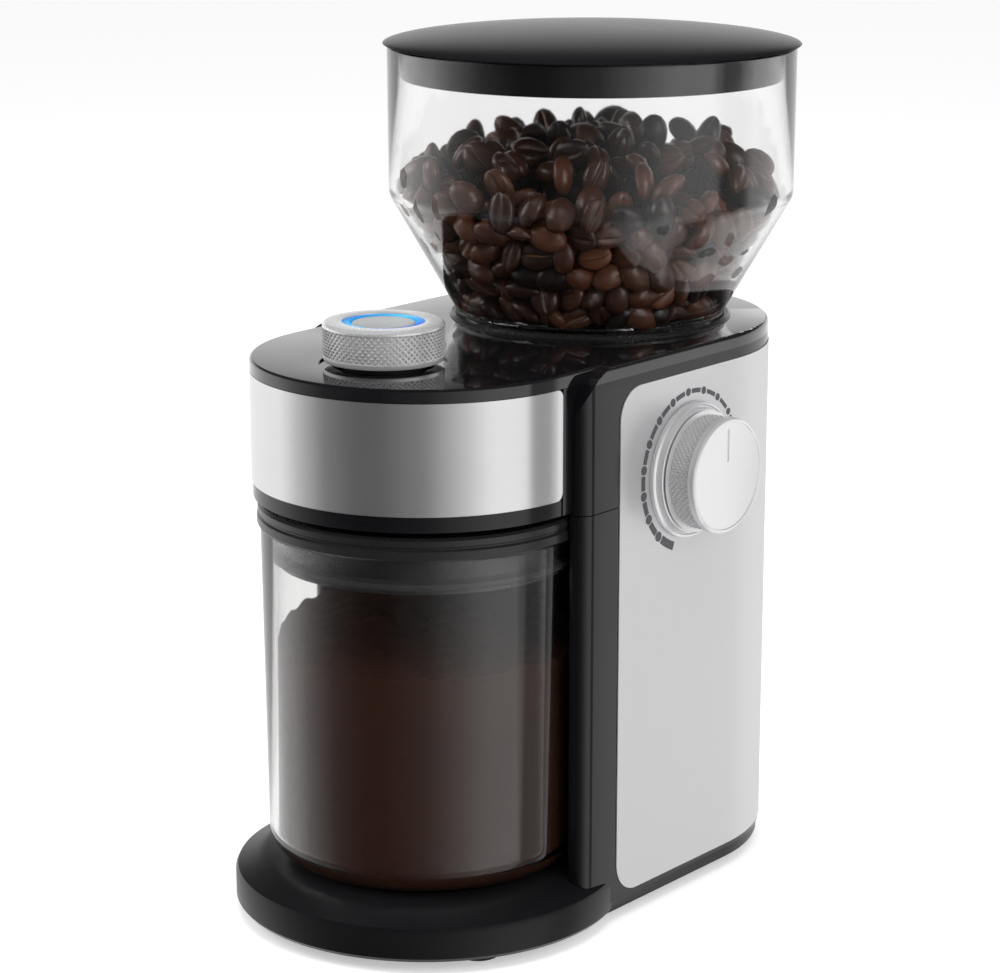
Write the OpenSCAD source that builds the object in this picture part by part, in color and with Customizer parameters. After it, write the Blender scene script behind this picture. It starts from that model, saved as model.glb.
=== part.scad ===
// Burr coffee grinder: bean hopper over a geared ring-burr mill, grounds bin in front.
// Units are millimetres. +Z is up, -Y is the bin side, +X is the dial side.
// The origin is on the table, under the burr spindle.

/* [Body] */
// Width of the rear column across its sides
body_w = 114.2; // [112:0.1:118]
// Distance from the burr spindle to the bin axis
axis_gap = 82; // [80:0.5:84]
// Radius of the head over the bin
head_r = 52.3; // [50:0.1:54]
// Height of the deck above the table
deck_z = 175.3; // [172:0.1:175.5]
// Height of the seam between the lower and upper shell
seam_z = 132; // [128:0.5:134]
// Radius of the base disc under the bin
base_r = 60.3; // [58:0.1:63]
// Thickness of the shell walls
wall = 2.4; // [2:0.1:3]
// Rounding of the deck edge
deck_edge = 1.5; // [1:0.1:4]
// Height of the rubber feet
foot_h = 3.5; // [3:0.5:5]

/* [Trim] */
// Bottom of the steel band
band_z0 = 137.8; // [136:0.1:140]
// Top of the steel band
band_z1 = 171.1; // [168:0.1:171.1]
// Bottom of the side panels
panel_z0 = 8.5; // [7.8:0.1:12]
// Top of the side panels
panel_z1 = 167.9; // [164:0.1:169]
// Front edge of the side panels
panel_front = 59.3; // [56:0.1:62]
// How far the side panels wrap to the rear
panel_rear = 43.7; // [36:0.1:46]
// Corner radius of the side panels
panel_corner = 10; // [4:0.5:12]

/* [Hopper] */
// Outer radius of the hopper neck
neck_r = 43.2; // [42:0.1:44]
// Outer radius of the hopper at the top of its cone
hopper_r = 64.2; // [60:0.1:66]
// Height of the corner between cone and cylinder
cone_z = 214.6; // [205:0.1:225]
// Height of the hopper rim
rim_z = 261.1; // [250:0.1:270]
// Wall of the clear hopper
hopper_wall = 2; // [1.6:0.1:2.6]
// Radius of the bean throat
throat_r = 14; // [12:0.5:16]
// Radius of the lid rim
lid_r = 65.8; // [64:0.1:68]
// Rise of the lid dome
dome_h = 5.0; // [4:0.1:10]

/* [Controls] */
// Distance of the selector in front of the spindle
selector_y = 100; // [96:0.5:104]
// Radius of the selector
selector_r = 18.3; // [17:0.1:19]
// Height of the selector top
selector_z = 188; // [186:0.1:190]
// Radius of the start button
button_r = 9.1; // [8:0.1:9.6]
// Distance of the dial in front of the spindle
dial_y = 23.5; // [22:0.5:25]
// Height of the dial axis
dial_z = 137.2; // [137:0.1:138]
// Radius of the dial
dial_r = 18.2; // [17:0.1:19]
// Outer face of the dial from the middle plane
dial_x = 71.6; // [70:0.1:74]
// Radius of the dial bezel
bezel_r = 21.3; // [20:0.1:22]

/* [Bin] */
// Radius of the bin wall at the top
bin_r = 50.0; // [48:0.1:50.3]
// Taper of the bin wall towards its floor
bin_taper = 1.2; // [0:0.1:2]
// Height of the bin floor above the table
bin_z = 18.3; // [18.3:0.1:20]
// Top of the clear bin wall
bin_top = 124; // [120:0.1:125]
// Wall of the clear bin
bin_wall = 2.2; // [1.8:0.1:3]
// Top of the bin lid
bin_lid_top = 131; // [129:0.1:131.2]
// Radius of the grounds inlet in the bin lid
inlet_r = 13; // [10:0.5:14]
// Distance of the grounds inlet in front of the spindle
inlet_y = 56; // [54:0.5:58]

/* [Mill] */
// Outer radius of the burrs
burr_r = 25; // [22:0.5:26]
// Gap between the burrs at the middle setting
burr_gap = 0.8; // [0.7:0.1:1.2]
// Radius of the burr spindle
spindle_r = 4; // [3.5:0.5:4.5]
// Running clearance of shafts in their bores
run = 0.05; // [0.02:0.01:0.1]
// Gear module of the motor gears
gear_m = 1; // [1:0.1:1]
// Teeth of the motor pinion
pinion_n = 12; // [12:1:12]
// Teeth of the large intermediate gear
mid_n = 36; // [36:1:36]
// Teeth of the small intermediate gear
mid_small_n = 14; // [14:1:14]
// Teeth of the output gear
out_n = 42; // [42:1:42]
// Distance from spindle to motor axis
motor_y = 26; // [25:0.5:26.5]
// Teeth of the dial pinion
dial_n = 12; // [12:1:12]
// Teeth on a full turn of the adjusting ring
ring_n = 76; // [76:1:76]

/* [Hidden] */
$fn = 96;
eps = 0.01;
half_w = body_w / 2;
front_y = -76.2;
cheek_r = 4.8;
cheek_top_r = 15;
in_r = half_w - wall;
bay_r = 52;
bay_back = bay_r + wall;
panel_t = 1.2;
panel_out = half_w + 0.3;
panel_in = panel_out - panel_t;
floor_z = 133;
shell_z0 = foot_h + 3.5;
burr_z = 147.4;
up_burr_z = burr_z + burr_gap;
chamber_r = 33;
carrier_r = 30.1;
ring_z0 = 144.6;
ring_tooth_z = ring_z0 + 0.4;
skirt_r = hopper_r - 2.8;
skirt_t = 1.8;
skirt_z = rim_z - 9.8;
lid_z = rim_z + 0.7;
lid_in_r = skirt_r - 4.4;
post_r = 12.2;
ring_in_r = button_r + 0.3;
post_in_r = button_r + 1.5;
dial_pr = gear_m * dial_n / 2;
rack_end = 19.6;
ring_pr = gear_m * ring_n / 2;
d1 = gear_m * (pinion_n + mid_n) / 2;
d2 = gear_m * (mid_small_n + out_n) / 2;
mid_y = (d2 * d2 - d1 * d1 + motor_y * motor_y) / (2 * motor_y);
mid_x = -sqrt(d2 * d2 - mid_y * mid_y);
a_pm = atan2(mid_y - motor_y, mid_x);
a_so = atan2(mid_y, mid_x);

// ---- shared shapes ----

module column_plan(r, front, c) {
    circle(r = r);
    translate([-r, front + c]) square([2 * r, -front - c]);
    translate([-r + c, front]) square([2 * (r - c), -front]);
    for (s = [-1, 1]) translate([s * (r - c), front + c]) circle(r = c);
}

module head_disc(r) {
    translate([0, -axis_gap]) circle(r = r);
}

// Plan of the space inside the column, behind the bin bay.
module inside_plan(r) {
    difference() {
        union() {
            circle(r = r);
            translate([-r, -62]) square([2 * r, 62]);
        }
        head_disc(bay_back + (in_r - r));
    }
}

// Rectangle in Y and Z, spread along X, with rounded corners.
module side_block(y0, y1, z0, z1, c) {
    rotate([90, 0, 90]) linear_extrude(2 * 80, center = true) union() {
        translate([y0 + c, z0]) square([y1 - y0 - 2 * c, z1 - z0]);
        translate([y0, z0 + c]) square([y1 - y0, z1 - z0 - 2 * c]);
        for (y = [y0 + c, y1 - c]) for (z = [z0 + c, z1 - c]) translate([y, z]) circle(r = c);
    }
}

module edge_profile(r, z0, z1, e) {
    translate([0, z0]) square([r, z1 - z0 - e]);
    translate([0, z0]) square([r - e, z1 - z0]);
    translate([r - e, z1 - e]) circle(r = e);
}

// Solid with a half-round rear, straight sides and a rounded top edge.
module rounded_column(r, z0, z1, e, front) {
    rotate_extrude(angle = 180) edge_profile(r, z0, z1, e);
    rotate([90, 0, 0]) linear_extrude(-front) union() {
        edge_profile(r, z0, z1, e);
        mirror([1, 0]) edge_profile(r, z0, z1, e);
    }
}

module rounded_head(r, z0, z1, e) {
    translate([0, -axis_gap, 0]) rotate_extrude() edge_profile(r, z0, z1, e);
    translate([0, -20, 0]) rotate([90, 0, 0]) linear_extrude(axis_gap - 20) union() {
        edge_profile(r, z0, z1, e);
        mirror([1, 0]) edge_profile(r, z0, z1, e);
    }
}

// The column above the seam, with its rounded top front corners.
module upper_column(z0) {
    intersection() {
        rounded_column(half_w, z0, deck_z, deck_edge, front_y);
        translate([0, 0, z0]) linear_extrude(60) column_plan(half_w, front_y, cheek_r);
        union() {
            side_block(front_y, 90, 60, deck_z, cheek_top_r);
            side_block(front_y + 30, 90, 60, deck_z + eps, 0.5);
        }
    }
}

module panel_block(grow) {
    intersection() {
        side_block(-panel_front - grow, panel_rear + grow, panel_z0 - grow, panel_z1 + grow,
            panel_corner + grow);
        translate([0, 0, panel_z0 - 1]) linear_extrude(panel_z1 - panel_z0 + 2) difference() {
            union() {
                circle(r = panel_out);
                translate([-panel_out, -70]) square([2 * panel_out, 70]);
            }
            circle(r = panel_in);
            translate([-panel_in, -71]) square([2 * panel_in, 71]);
        }
    }
}

module half_x(side) {
    translate([side > 0 ? 0 : -80, -100, -1]) cube([80, 200, 300]);
}

module cover_block(grow) {
    intersection() {
        translate([-27 - grow, 20, 24 - grow]) cube([54 + 2 * grow, 60, 88 + 2 * grow]);
        difference() {
            cylinder(r = panel_out - 0.3, h = 130);
            translate([0, 0, -1]) cylinder(r = panel_in, h = 132);
        }
    }
}

// Involute gear outline, one tooth centred on the +X axis.
function inv(a) = tan(a) * 180 / PI - a;
function flank(n, m, b, r) = 90 / n + inv(20) - (b / 2) / (m * n / 2) * 180 / PI
    - inv(acos(min(1, (m * n / 2) * cos(20) / r)));
function pol(r, a) = [r * cos(a), r * sin(a)];

module gear_plan(n, m, b) {
    rp = m * n / 2;
    rb = rp * cos(20);
    rt = rp + 0.85 * m;
    rr = rp - 1.08 * m;
    r0 = max(rb + 0.02, rr);
    steps = 4;
    polygon([for (i = [0 : n - 1]) each concat(
        [pol(rr, i * 360 / n - flank(n, m, b, r0))],
        [for (k = [0 : steps]) let (r = r0 + (rt - r0) * k / steps)
            pol(r, i * 360 / n - flank(n, m, b, r))],
        [for (k = [steps : -1 : 0]) let (r = r0 + (rt - r0) * k / steps)
            pol(r, i * 360 / n + flank(n, m, b, r))],
        [pol(rr, i * 360 / n + flank(n, m, b, r0))])]);
}

// Rack teeth: points up in +Y of the plan, pitch line at y = 0, gaps at x = 0.
module rack_plan(m, k0, k1, b) {
    p = PI * m;
    for (k = [k0 : k1]) polygon([[(k + 0.5) * p - p / 4 + b / 2 - 1.3 * m * tan(20), -1.3 * m],
        [(k + 0.5) * p - p / 4 + b / 2 + 0.8 * m * tan(20), 0.8 * m],
        [(k + 0.5) * p + p / 4 - b / 2 - 0.8 * m * tan(20), 0.8 * m],
        [(k + 0.5) * p + p / 4 - b / 2 + 1.3 * m * tan(20), -1.3 * m]]);
}

// Machine screw with a pan head, point at the origin side, head up.
module screw(r, h, head_r, head_h) {
    cylinder(r = r, h = h);
    difference() {
        translate([0, 0, h]) cylinder(r1 = head_r, r2 = head_r * 0.82, h = head_h);
        for (a = [0, 90]) rotate(a) translate([-head_r * 0.6, -0.4, h + head_h * 0.45])
            cube([head_r * 1.2, 0.8, head_h]);
    }
}

// ---- base ----

module base_tray() {
    color([0.05, 0.05, 0.055]) difference() {
        union() {
            translate([0, -axis_gap + 1, 0]) rotate_extrude() polygon([[0, foot_h],
                [base_r - 1, foot_h], [base_r, foot_h + 1.2], [base_r, 12.6],
                [base_r - 0.7, 14], [base_r - 4, 15.4], [50.6, 18], [0, 18]]);
            translate([0, 0, foot_h]) linear_extrude(shell_z0 - foot_h)
                column_plan(half_w - 0.6, front_y, cheek_r);
        }
        translate([0, 0, shell_z0]) linear_extrude(20) difference() {
            column_plan(half_w + 0.2, front_y - 0.2, cheek_r);
            head_disc(bay_r - 0.2);
        }
        // hollow under the bin disc, with ribs left standing
        translate([0, -axis_gap + 1, foot_h - 1]) difference() {
            union() {
                intersection() {
                    cylinder(r = base_r - 3, h = 11.5);
                    translate([-70, -70, 0]) cube([140, 78, 12]);
                }
                cylinder(r = 47, h = 11.5);
            }
            for (a = [0, 45, 90, 135]) rotate(a) translate([-1, -70, 0]) cube([2, 140, 12]);
            translate([0, 0, -1]) cylinder(r = 10, h = 13);
            for (s = [-1, 1]) translate([s * 40, -24, -1]) cylinder(r = 10, h = 13);
            translate([-70, axis_gap - 49, -1]) cube([140, 90, 13]);
        }
        // air slots under the motor
        for (i = [-4 : 4]) translate([i * 5 - 1.2, 14, foot_h - 1]) cube([2.4, 26, 6]);
        // screw holes
        for (p = screw_points) translate([p[0], p[1], 0])
            cylinder(r = 2.2, h = 10);
        // seats of the feet
        for (p = foot_points) translate([p[0], p[1], foot_h - 1]) cylinder(r = 3, h = 3);
    }
}

screw_points = [[40, -40], [-40, -40], [36, 36.6], [-36, 36.6]];
foot_points = [[40, -105], [-40, -105], [38, 24], [-38, 24], [0, 0]];

module rubber_feet() {
    color([0.03, 0.03, 0.03]) for (p = foot_points) translate([p[0], p[1], 0]) {
        rotate_extrude() polygon([[0, 0], [6.4, 0], [7, 0.6], [7, foot_h], [0, foot_h]]);
        cylinder(r = 3, h = foot_h + 2);
    }
}

module base_screws() {
    color([0.55, 0.55, 0.56]) for (p = screw_points)
        translate([p[0], p[1], foot_h - 1.5]) mirror([0, 0, 1]) translate([0, 0, -12])
            screw(1.6, 11.5, 3.4, 0.4);
}

// ---- shells ----

module lower_shell() {
    color([0.06, 0.06, 0.065]) difference() {
        translate([0, 0, shell_z0]) linear_extrude(seam_z - shell_z0) difference() {
            column_plan(half_w, front_y, cheek_r);
            head_disc(bay_r);
        }
        translate([0, 0, shell_z0 - 1]) linear_extrude(seam_z - shell_z0 + 2)
            difference() {
                inside_plan(in_r);
                for (p = screw_points) translate(p) circle(r = 4);
            }
        translate([0, 0, 24]) linear_extrude(seam_z) inside_plan(in_r);
        for (s = [-1, 1]) intersection() {
            panel_block(0.15);
            half_x(s);
        }
        cover_block(0.15);
        // air openings behind the rear cover
        for (i = [0 : 8]) translate([-20, 40, 34 + i * 8]) cube([40, 30, 4]);
        // screw bores in the corner posts
        for (p = screw_points) translate([p[0], p[1], 0])
            cylinder(r = 1.6, h = 15);
        // dial bezel hub and cord gland
        translate([0, -dial_y, dial_z]) rotate([0, 90, 0]) cylinder(r = 8, h = 80);
        translate([0, 0, 16.5]) rotate([-90, 0, 0]) cylinder(r = 5, h = 80);
        // switch window in the bay wall
        translate([-4, -40, 84]) cube([8, 20, 5]);
    }
}

module upper_shell() {
    color([0.06, 0.06, 0.065]) difference() {
        union() {
            intersection() {
                union() {
                    rounded_head(head_r - 0.85, floor_z, deck_z, 0.4);
                    translate([0, 0, floor_z]) linear_extrude(band_z0 - 0.2 - floor_z) union() {
                        head_disc(head_r - 0.4);
                        translate([-head_r + 0.4, -axis_gap])
                            square([2 * head_r - 0.8, axis_gap - 30]);
                    }
                    // side strips between the band ends and the column
                    translate([0, 0, floor_z]) linear_extrude(40) intersection() {
                        union() {
                            head_disc(head_r - 0.05);
                            translate([-head_r + 0.05, -axis_gap])
                                square([2 * head_r - 0.1, axis_gap - 30]);
                        }
                        translate([-60, -80.4]) square([120, 40]);
                    }
                }
                translate([0, 0, floor_z]) cylinder(r = 160, h = 171.3 - floor_z);
            }
            intersection() {
                upper_column(seam_z + 0.3);
                translate([0, 0, seam_z]) cylinder(r = 160, h = 171.3 - seam_z);
            }
        }
        // bay under the head
        translate([0, 0, seam_z]) linear_extrude(floor_z - seam_z) head_disc(bay_r);
        // head space
        translate([0, 0, floor_z + wall]) linear_extrude(60) union() {
            head_disc(head_r - 0.8 - wall);
            translate([-49, -axis_gap]) square([98, axis_gap - 20]);
            circle(r = in_r);
            translate([-in_r, -62]) square([2 * in_r, 62]);
        }
        // column space
        translate([0, 0, seam_z - 1]) linear_extrude(20) inside_plan(in_r);
        for (s = [-1, 1]) intersection() {
            panel_block(0.15);
            half_x(s);
        }
        translate([0, -dial_y, dial_z]) rotate([0, 90, 0]) cylinder(r = 8, h = 80);
        // seat of the grinding chamber
        translate([0, 0, floor_z - 2]) cylinder(r = chamber_r + 0.3, h = 10);
        // grounds exit
        translate([0, -inlet_y, floor_z - 2]) cylinder(r = inlet_r - 1, h = 10);
    }
}

module top_deck() {
    color([0.03, 0.03, 0.035]) difference() {
        intersection() {
            union() {
                rounded_head(head_r, 150, deck_z, deck_edge - 0.6);
                upper_column(150);
            }
            translate([0, 0, 171.3]) cylinder(r = 160, h = 20);
        }
        cylinder(r = 42, h = 200);
        translate([0, -selector_y, 0]) cylinder(r = 15.2, h = 200);
        // shallow ring seat of the selector
        translate([0, -selector_y, deck_z - 0.6]) cylinder(r = selector_r + 1.2, h = 2);
    }
}

module front_band() {
    color([0.75, 0.75, 0.76]) intersection() {
        translate([0, -axis_gap, band_z0]) difference() {
            cylinder(r = head_r, h = band_z1 - band_z0);
            translate([0, 0, -1]) cylinder(r = head_r - 0.8, h = 60);
        }
        side_block(-160, -80.6, band_z0, band_z1, 2.5);
    }
}

module side_panel_hole() {
    translate([0, -dial_y, dial_z]) rotate([0, 90, 0]) cylinder(r = 8, h = 80);
}

module right_side_panel() {
    color([0.78, 0.78, 0.79]) difference() {
        intersection() {
            panel_block(0);
            half_x(1);
        }
        side_panel_hole();
    }
}

module left_side_panel() {
    color([0.78, 0.78, 0.79]) intersection() {
        panel_block(0);
        half_x(-1);
    }
}

module rear_cover() {
    color([0.07, 0.07, 0.075]) difference() {
        cover_block(0);
        for (i = [0 : 15]) translate([-19, 30, 34 + i * 4.6]) cube([38, 40, 2]);
        for (s = [-1, 1]) for (z = [28, 108]) translate([s * 22, 30, z]) rotate([-90, 0, 0])
            cylinder(r = 1.8, h = 60);
    }
}

module cord_gland() {
    color([0.04, 0.04, 0.04]) difference() {
        translate([0, 48, 16.5]) rotate([-90, 0, 0]) rotate_extrude() polygon([[0, 0], [7.5, 0],
            [7.5, 4.5], [4.9, 4.9], [4.9, 9.6], [7, 10], [7, 12], [4.6, 13.6], [4.6, 18],
            [0, 18]]);
        translate([0, 40, 16.5]) rotate([-90, 0, 0]) cylinder(r = 3.2, h = 40);
    }
}

// ---- hopper ----

module hopper_collar() {
    color([0.05, 0.05, 0.055]) difference() {
        rotate_extrude() polygon([[39.9, 161], [41.9, 161], [41.9, deck_z], [45, deck_z],
            [45, 175.6], [44.2, 176.4], [39.9, 176.4]]);
        // entries of the locking lugs
        for (a = [0, 120, 240]) rotate(a + 30) translate([38, -4, 172]) cube([3, 8, 6]);
    }
}

module hopper() {
    color([0.85, 0.88, 0.9, 0.35]) {
        rotate_extrude() polygon([[39.5, 163.5], [39.5, 176.7], [neck_r, 176.7],
            [neck_r, 178], [hopper_r, cone_z], [hopper_r + 0.3, rim_z],
            [hopper_r + 0.3 - hopper_wall, rim_z], [hopper_r - hopper_wall, cone_z + 0.8],
            [neck_r - hopper_wall, 179.2], [37.5, 175.4], [37.5, 169], [throat_r, 166],
            [throat_r, 163.5]]);
        for (a = [0, 120, 240]) rotate(a + 30) translate([39.3, -3.2, 172.6])
            cube([0.45, 6.4, 2.4]);
    }
}

// Arc from a rim up to the top of a flat dome.
function dome_arc(r, z, rise) = [for (k = [1 : 12])
    [r * cos(7.5 * k), z + rise * pow(sin(7.5 * k), 1.25)]];

module hopper_lid() {
    color([0.04, 0.04, 0.045]) difference() {
        rotate_extrude() polygon(concat(
            [[0, rim_z + 0.4], [skirt_r - skirt_t, rim_z + 0.4], [skirt_r - skirt_t, skirt_z],
             [skirt_r, skirt_z], [skirt_r + 0.5, rim_z + 0.3], [lid_r - 0.6, rim_z + 0.3],
             [lid_r, lid_z]], dome_arc(lid_r, lid_z, dome_h)));
        // hollow under the dome
        rotate_extrude() polygon(concat([[0, rim_z], [lid_in_r, rim_z], [lid_in_r, lid_z + 0.5]],
            dome_arc(lid_in_r, lid_z + 0.5, dome_h - 2)));
        // grip grooves of the skirt
        for (a = [0 : 60 : 300]) for (s = [-2, 2]) rotate(a + s)
            translate([skirt_r, -0.5, skirt_z - 1]) cube([2, 1, 9.5]);
    }
}

// ---- selector and start button ----

module cup_selector_knob() {
    color([0.8, 0.8, 0.81]) translate([0, -selector_y, 0]) difference() {
        union() {
            translate([0, 0, 178]) linear_extrude(8.3) polygon([for (i = [0 : 143])
                pol(selector_r - (i % 2) * 0.45, i * 2.5)]);
            rotate_extrude() polygon([[12, 176.3], [selector_r - 0.7, 176.3],
                [selector_r - 0.3, 176.7], [selector_r - 0.3, 178], [selector_r - 0.9, 178],
                [selector_r - 0.9, 186.3], [selector_r - 0.2, 186.3],
                [selector_r - 0.2, 187.2], [selector_r - 1.2, selector_z], [12, selector_z]]);
            translate([0, 0, 165]) cylinder(r = 14.8, h = 13);
        }
        translate([0, 0, 160]) cylinder(r = post_r + 0.3, h = 40);
    }
}

module selector_post() {
    color([0.1, 0.1, 0.1]) translate([0, -selector_y, 0]) difference() {
        union() {
            translate([0, 0, 160]) cylinder(r = post_r, h = 25);
            translate([0, 0, 160]) cylinder(r = 17, h = 1.6);
        }
        translate([0, 0, 163.2]) cylinder(r = post_in_r, h = 30);
        translate([0, 0, 150]) cylinder(r = 4.6, h = 30);
    }
}

module light_ring() {
    color([0.3, 0.6, 1]) translate([0, -selector_y, 0]) rotate_extrude() polygon([
        [ring_in_r, 183], [post_in_r, 183], [post_in_r, 185], [post_r, 185], [post_r, 187.3],
        [post_r - 0.4, 187.7], [ring_in_r + 0.4, 187.7], [ring_in_r, 187.3]]);
}

module start_button() {
    color([0.6, 0.62, 0.64]) translate([0, -selector_y, 0]) {
        rotate_extrude() polygon([[0, 182.5], [button_r - 1.1, 182.5], [button_r - 1.1, 180.4],
            [button_r + 0.8, 180.4],
            [button_r + 0.8, 181.6], [button_r, 182.6], [button_r, 187], [button_r - 0.6, 187.6],
            [0, 187.4]]);
        translate([0, 0, 168.2]) cylinder(r = 1.8, h = 15);
    }
}

module button_spring() {
    color([0.7, 0.7, 0.72]) translate([0, -selector_y, 163.2])
        linear_extrude(19.3, twist = -360 * 6, slices = 96, $fn = 8) translate([6, 0])
            scale([0.42, 1.1]) circle(r = 0.9, $fn = 8);
}

module button_switch() {
    color([0.12, 0.12, 0.13]) translate([0, -selector_y, 0]) {
        translate([-3, -3, 160]) cube([6, 6, 3.4]);
        translate([0, 0, 163.4]) cylinder(r = 1.6, h = 3.1);
    }
}

module display_board() {
    color([0.06, 0.3, 0.14]) translate([0, -selector_y, 0]) difference() {
        translate([-29, -19.6, 158.4]) cube([58, 44.6, 1.6]);
        for (s = [-1, 1]) for (t = [-16, 21]) translate([s * 25, t, 150]) cylinder(r = 1.2, h = 20);
    }
    color([0.1, 0.1, 0.1]) for (i = [0 : 3]) translate([-24 + i * 3, -88, 160])
        cube([2, 5, 1.2]);
    color([0.9, 0.9, 0.88]) translate([16, -88, 160]) cube([9, 6, 5]);
    color([0.1, 0.1, 0.1]) for (s = [-1, 1]) for (t = [-16, 21])
        translate([s * 25, -selector_y + t, 160]) difference() {
            cylinder(r = 3, h = 11.3);
            translate([0, 0, -1]) cylinder(r = 1.2, h = 10);
        }
}

module selector_encoder() {
    color([0.15, 0.15, 0.16]) translate([0, -selector_y, 0]) difference() {
        translate([0, 0, 161.6]) cylinder(r = 17, h = 3);
        translate([0, 0, 160]) cylinder(r = post_r + run, h = 10);
    }
}

// ---- grind dial and adjuster ----

module grind_dial_knob() {
    color([0.8, 0.8, 0.81]) translate([0, -dial_y, dial_z]) rotate([90, 0, 90]) difference() {
        union() {
            translate([0, 0, 61.8]) linear_extrude(7) polygon([for (i = [0 : 143])
                pol(dial_r - 0.4 - (i % 2) * 0.45, i * 2.5)]);
            rotate_extrude() polygon([[0, 61.4], [dial_r + 0.7, 61.4], [dial_r + 0.7, 61.8],
                [dial_r - 1, 61.8], [dial_r - 1, 68.8], [dial_r - 0.3, 68.8],
                [dial_r - 0.3, dial_x - 0.7], [dial_r - 1, dial_x], [0, dial_x]]);
        }
        // hollow behind the face, leaving the hub
        difference() {
            translate([0, 0, 60]) cylinder(r = dial_r - 2.6, h = dial_x - 60 - 2.2);
            translate([0, 0, 59]) cylinder(r = 6, h = 20);
        }
        translate([0, 0, 60]) cylinder(r = 3, h = 7);
        // pointer groove
        translate([-0.5, 4.3, dial_x - 0.5]) cube([1, dial_r - 7.9, 2]);
    }
}

module dial_bezel() {
    color([0.7, 0.7, 0.72]) translate([0, -dial_y, dial_z]) rotate([90, 0, 90]) difference() {
        rotate_extrude() polygon([[3 + run, 54.8], [7.8, 54.8], [7.8, panel_out],
            [bezel_r, panel_out], [bezel_r, panel_out + 1], [bezel_r - 0.6, panel_out + 1.6],
            [bezel_r - 0.9, panel_out + 1.6], [bezel_r - 1.1, panel_out + 2.9],
            [bezel_r - 1.6, panel_out + 3.4], [16, panel_out + 3.4], [15.4, panel_out + 2],
            [3 + run, panel_out + 2]]);
    }
}

module dial_shaft() {
    color([0.7, 0.7, 0.72]) translate([0, -dial_y, dial_z]) rotate([90, 0, 90]) {
        translate([0, 0, 39.4]) cylinder(r = 3, h = 67 - 39.4);
        translate([0, 0, 40]) rotate(90) linear_extrude(6) gear_plan(dial_n, gear_m, 0.3);
        translate([0, 0, 49.2]) linear_extrude(2) difference() {
            circle(r = 9);
            for (i = [0 : 17]) rotate(i * 19.1 + 9) translate([9.4, 0]) circle(r = 1, $fn = 24);
        }
    }
}

module adjust_rack() {
    color([0.75, 0.73, 0.66]) {
        translate([0, 0, dial_z + dial_pr + 1]) linear_extrude(5) polygon([[40, -52], [46, -52],
            [46, 13], [41, rack_end], [40, rack_end]]);
        // lower teeth, in mesh with the dial pinion
        translate([40, -dial_y, dial_z + dial_pr]) rotate([90, 0, 90]) linear_extrude(6)
            mirror([0, 1]) intersection() {
                rack_plan(gear_m, -7, 6, 0.3);
                translate([-40, -2]) square([80, 4]);
            }
        // side teeth, in mesh with the adjusting ring
        translate([ring_pr, 0, ring_tooth_z]) linear_extrude(4) rotate(90) intersection() {
            rack_plan(gear_m, -7, 5, 0.3);
            translate([-40, -1.3]) square([80, 4]);
        }
        // web that ties the bar to the side teeth
        translate([39.2, -22, min(ring_tooth_z, dial_z + dial_pr + 1)])
            cube([1, 22 + rack_end, max(4, ring_tooth_z + 4 - dial_z - dial_pr - 1,
                dial_z + dial_pr + 6 - ring_tooth_z)]);
    }
}

module rack_guide() {
    color([0.12, 0.12, 0.13]) difference() {
        union() {
            translate([46.3, -38, 130]) cube([2.4, 34, 21]);
            translate([42.4, -38, 149.5]) cube([6.3, 34, 1.6]);
            translate([34.5, -38, 130]) cube([14, 34, 2]);
        }
        translate([40, -dial_y, dial_z]) rotate([0, 90, 0]) cylinder(r = 3 + run, h = 20);
        translate([33, -dial_y - 7.4, 129]) cube([13.3, 14.8, 5]);
        translate([0, 0, 120]) cylinder(r = 38.2, h = 16);
    }
}

module dial_detent() {
    color([0.75, 0.75, 0.76]) translate([0, -dial_y, dial_z]) {
        translate([49.4, 9.2 + 0.3, -9]) cube([1.6, 0.8, 22]);
        translate([49.4, 10.3, 0]) rotate([0, 90, 0]) cylinder(r = 1, h = 1.6, $fn = 32);
        translate([48.7, 9.5, 10]) cube([2.3, 0.8, 3]);
    }
}

module adjusting_ring() {
    color([0.75, 0.73, 0.66]) {
        rotate_extrude() polygon([[chamber_r + run, ring_z0], [36.9, ring_z0], [36.9, 157.2],
            [36.1, 158], [carrier_r + run, 158], [carrier_r + run, 150.6],
            [chamber_r + run, 150.6]]);
        translate([0, 0, ring_tooth_z]) linear_extrude(4) intersection() {
            gear_plan(ring_n, gear_m, 0.3);
            difference() {
                polygon([[0, 0], pol(60, -49.7), pol(60, -24), pol(60, 0), pol(60, 24),
                    pol(60, 49.7)]);
                circle(r = 36);
            }
        }
    }
}

// ---- burrs and chamber ----

module upper_burr_carrier() {
    color([0.08, 0.08, 0.09]) difference() {
        union() {
            rotate_extrude() polygon([[throat_r, 154.2], [carrier_r, 154.2], [carrier_r, 159.4],
                [throat_r + 2, 159.4], [throat_r, 160.4]]);
            // lift handle
            for (s = [-1, 1]) translate([s * 22 - 1.5, -8, 159]) cube([3, 16, 3.4]);
        }
        for (a = [0, 120, 240]) rotate(a + 90) translate([20, 0, 150]) cylinder(r = 1.6, h = 20);
    }
}

module burr_teeth(r0, r1, n) {
    for (i = [0 : n - 1]) rotate(i * 360 / n) translate([(r0 + r1) / 2, 0, 0])
        rotate([0, 0, 28]) rotate([45, 0, 0]) cube([r1 - r0 + 9, 1.5, 1.5], center = true);
}

module upper_burr() {
    color([0.6, 0.6, 0.62]) difference() {
        rotate_extrude() polygon([[throat_r + 0.5, 154.2], [burr_r, 154.2], [burr_r, up_burr_z],
            [18, up_burr_z], [throat_r + 0.5, up_burr_z + 3]]);
        translate([0, 0, up_burr_z]) burr_teeth(15, burr_r, 30);
        for (a = [0, 120, 240]) rotate(a + 90) translate([20, 0, 140]) cylinder(r = 1.6, h = 20);
    }
}

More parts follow.
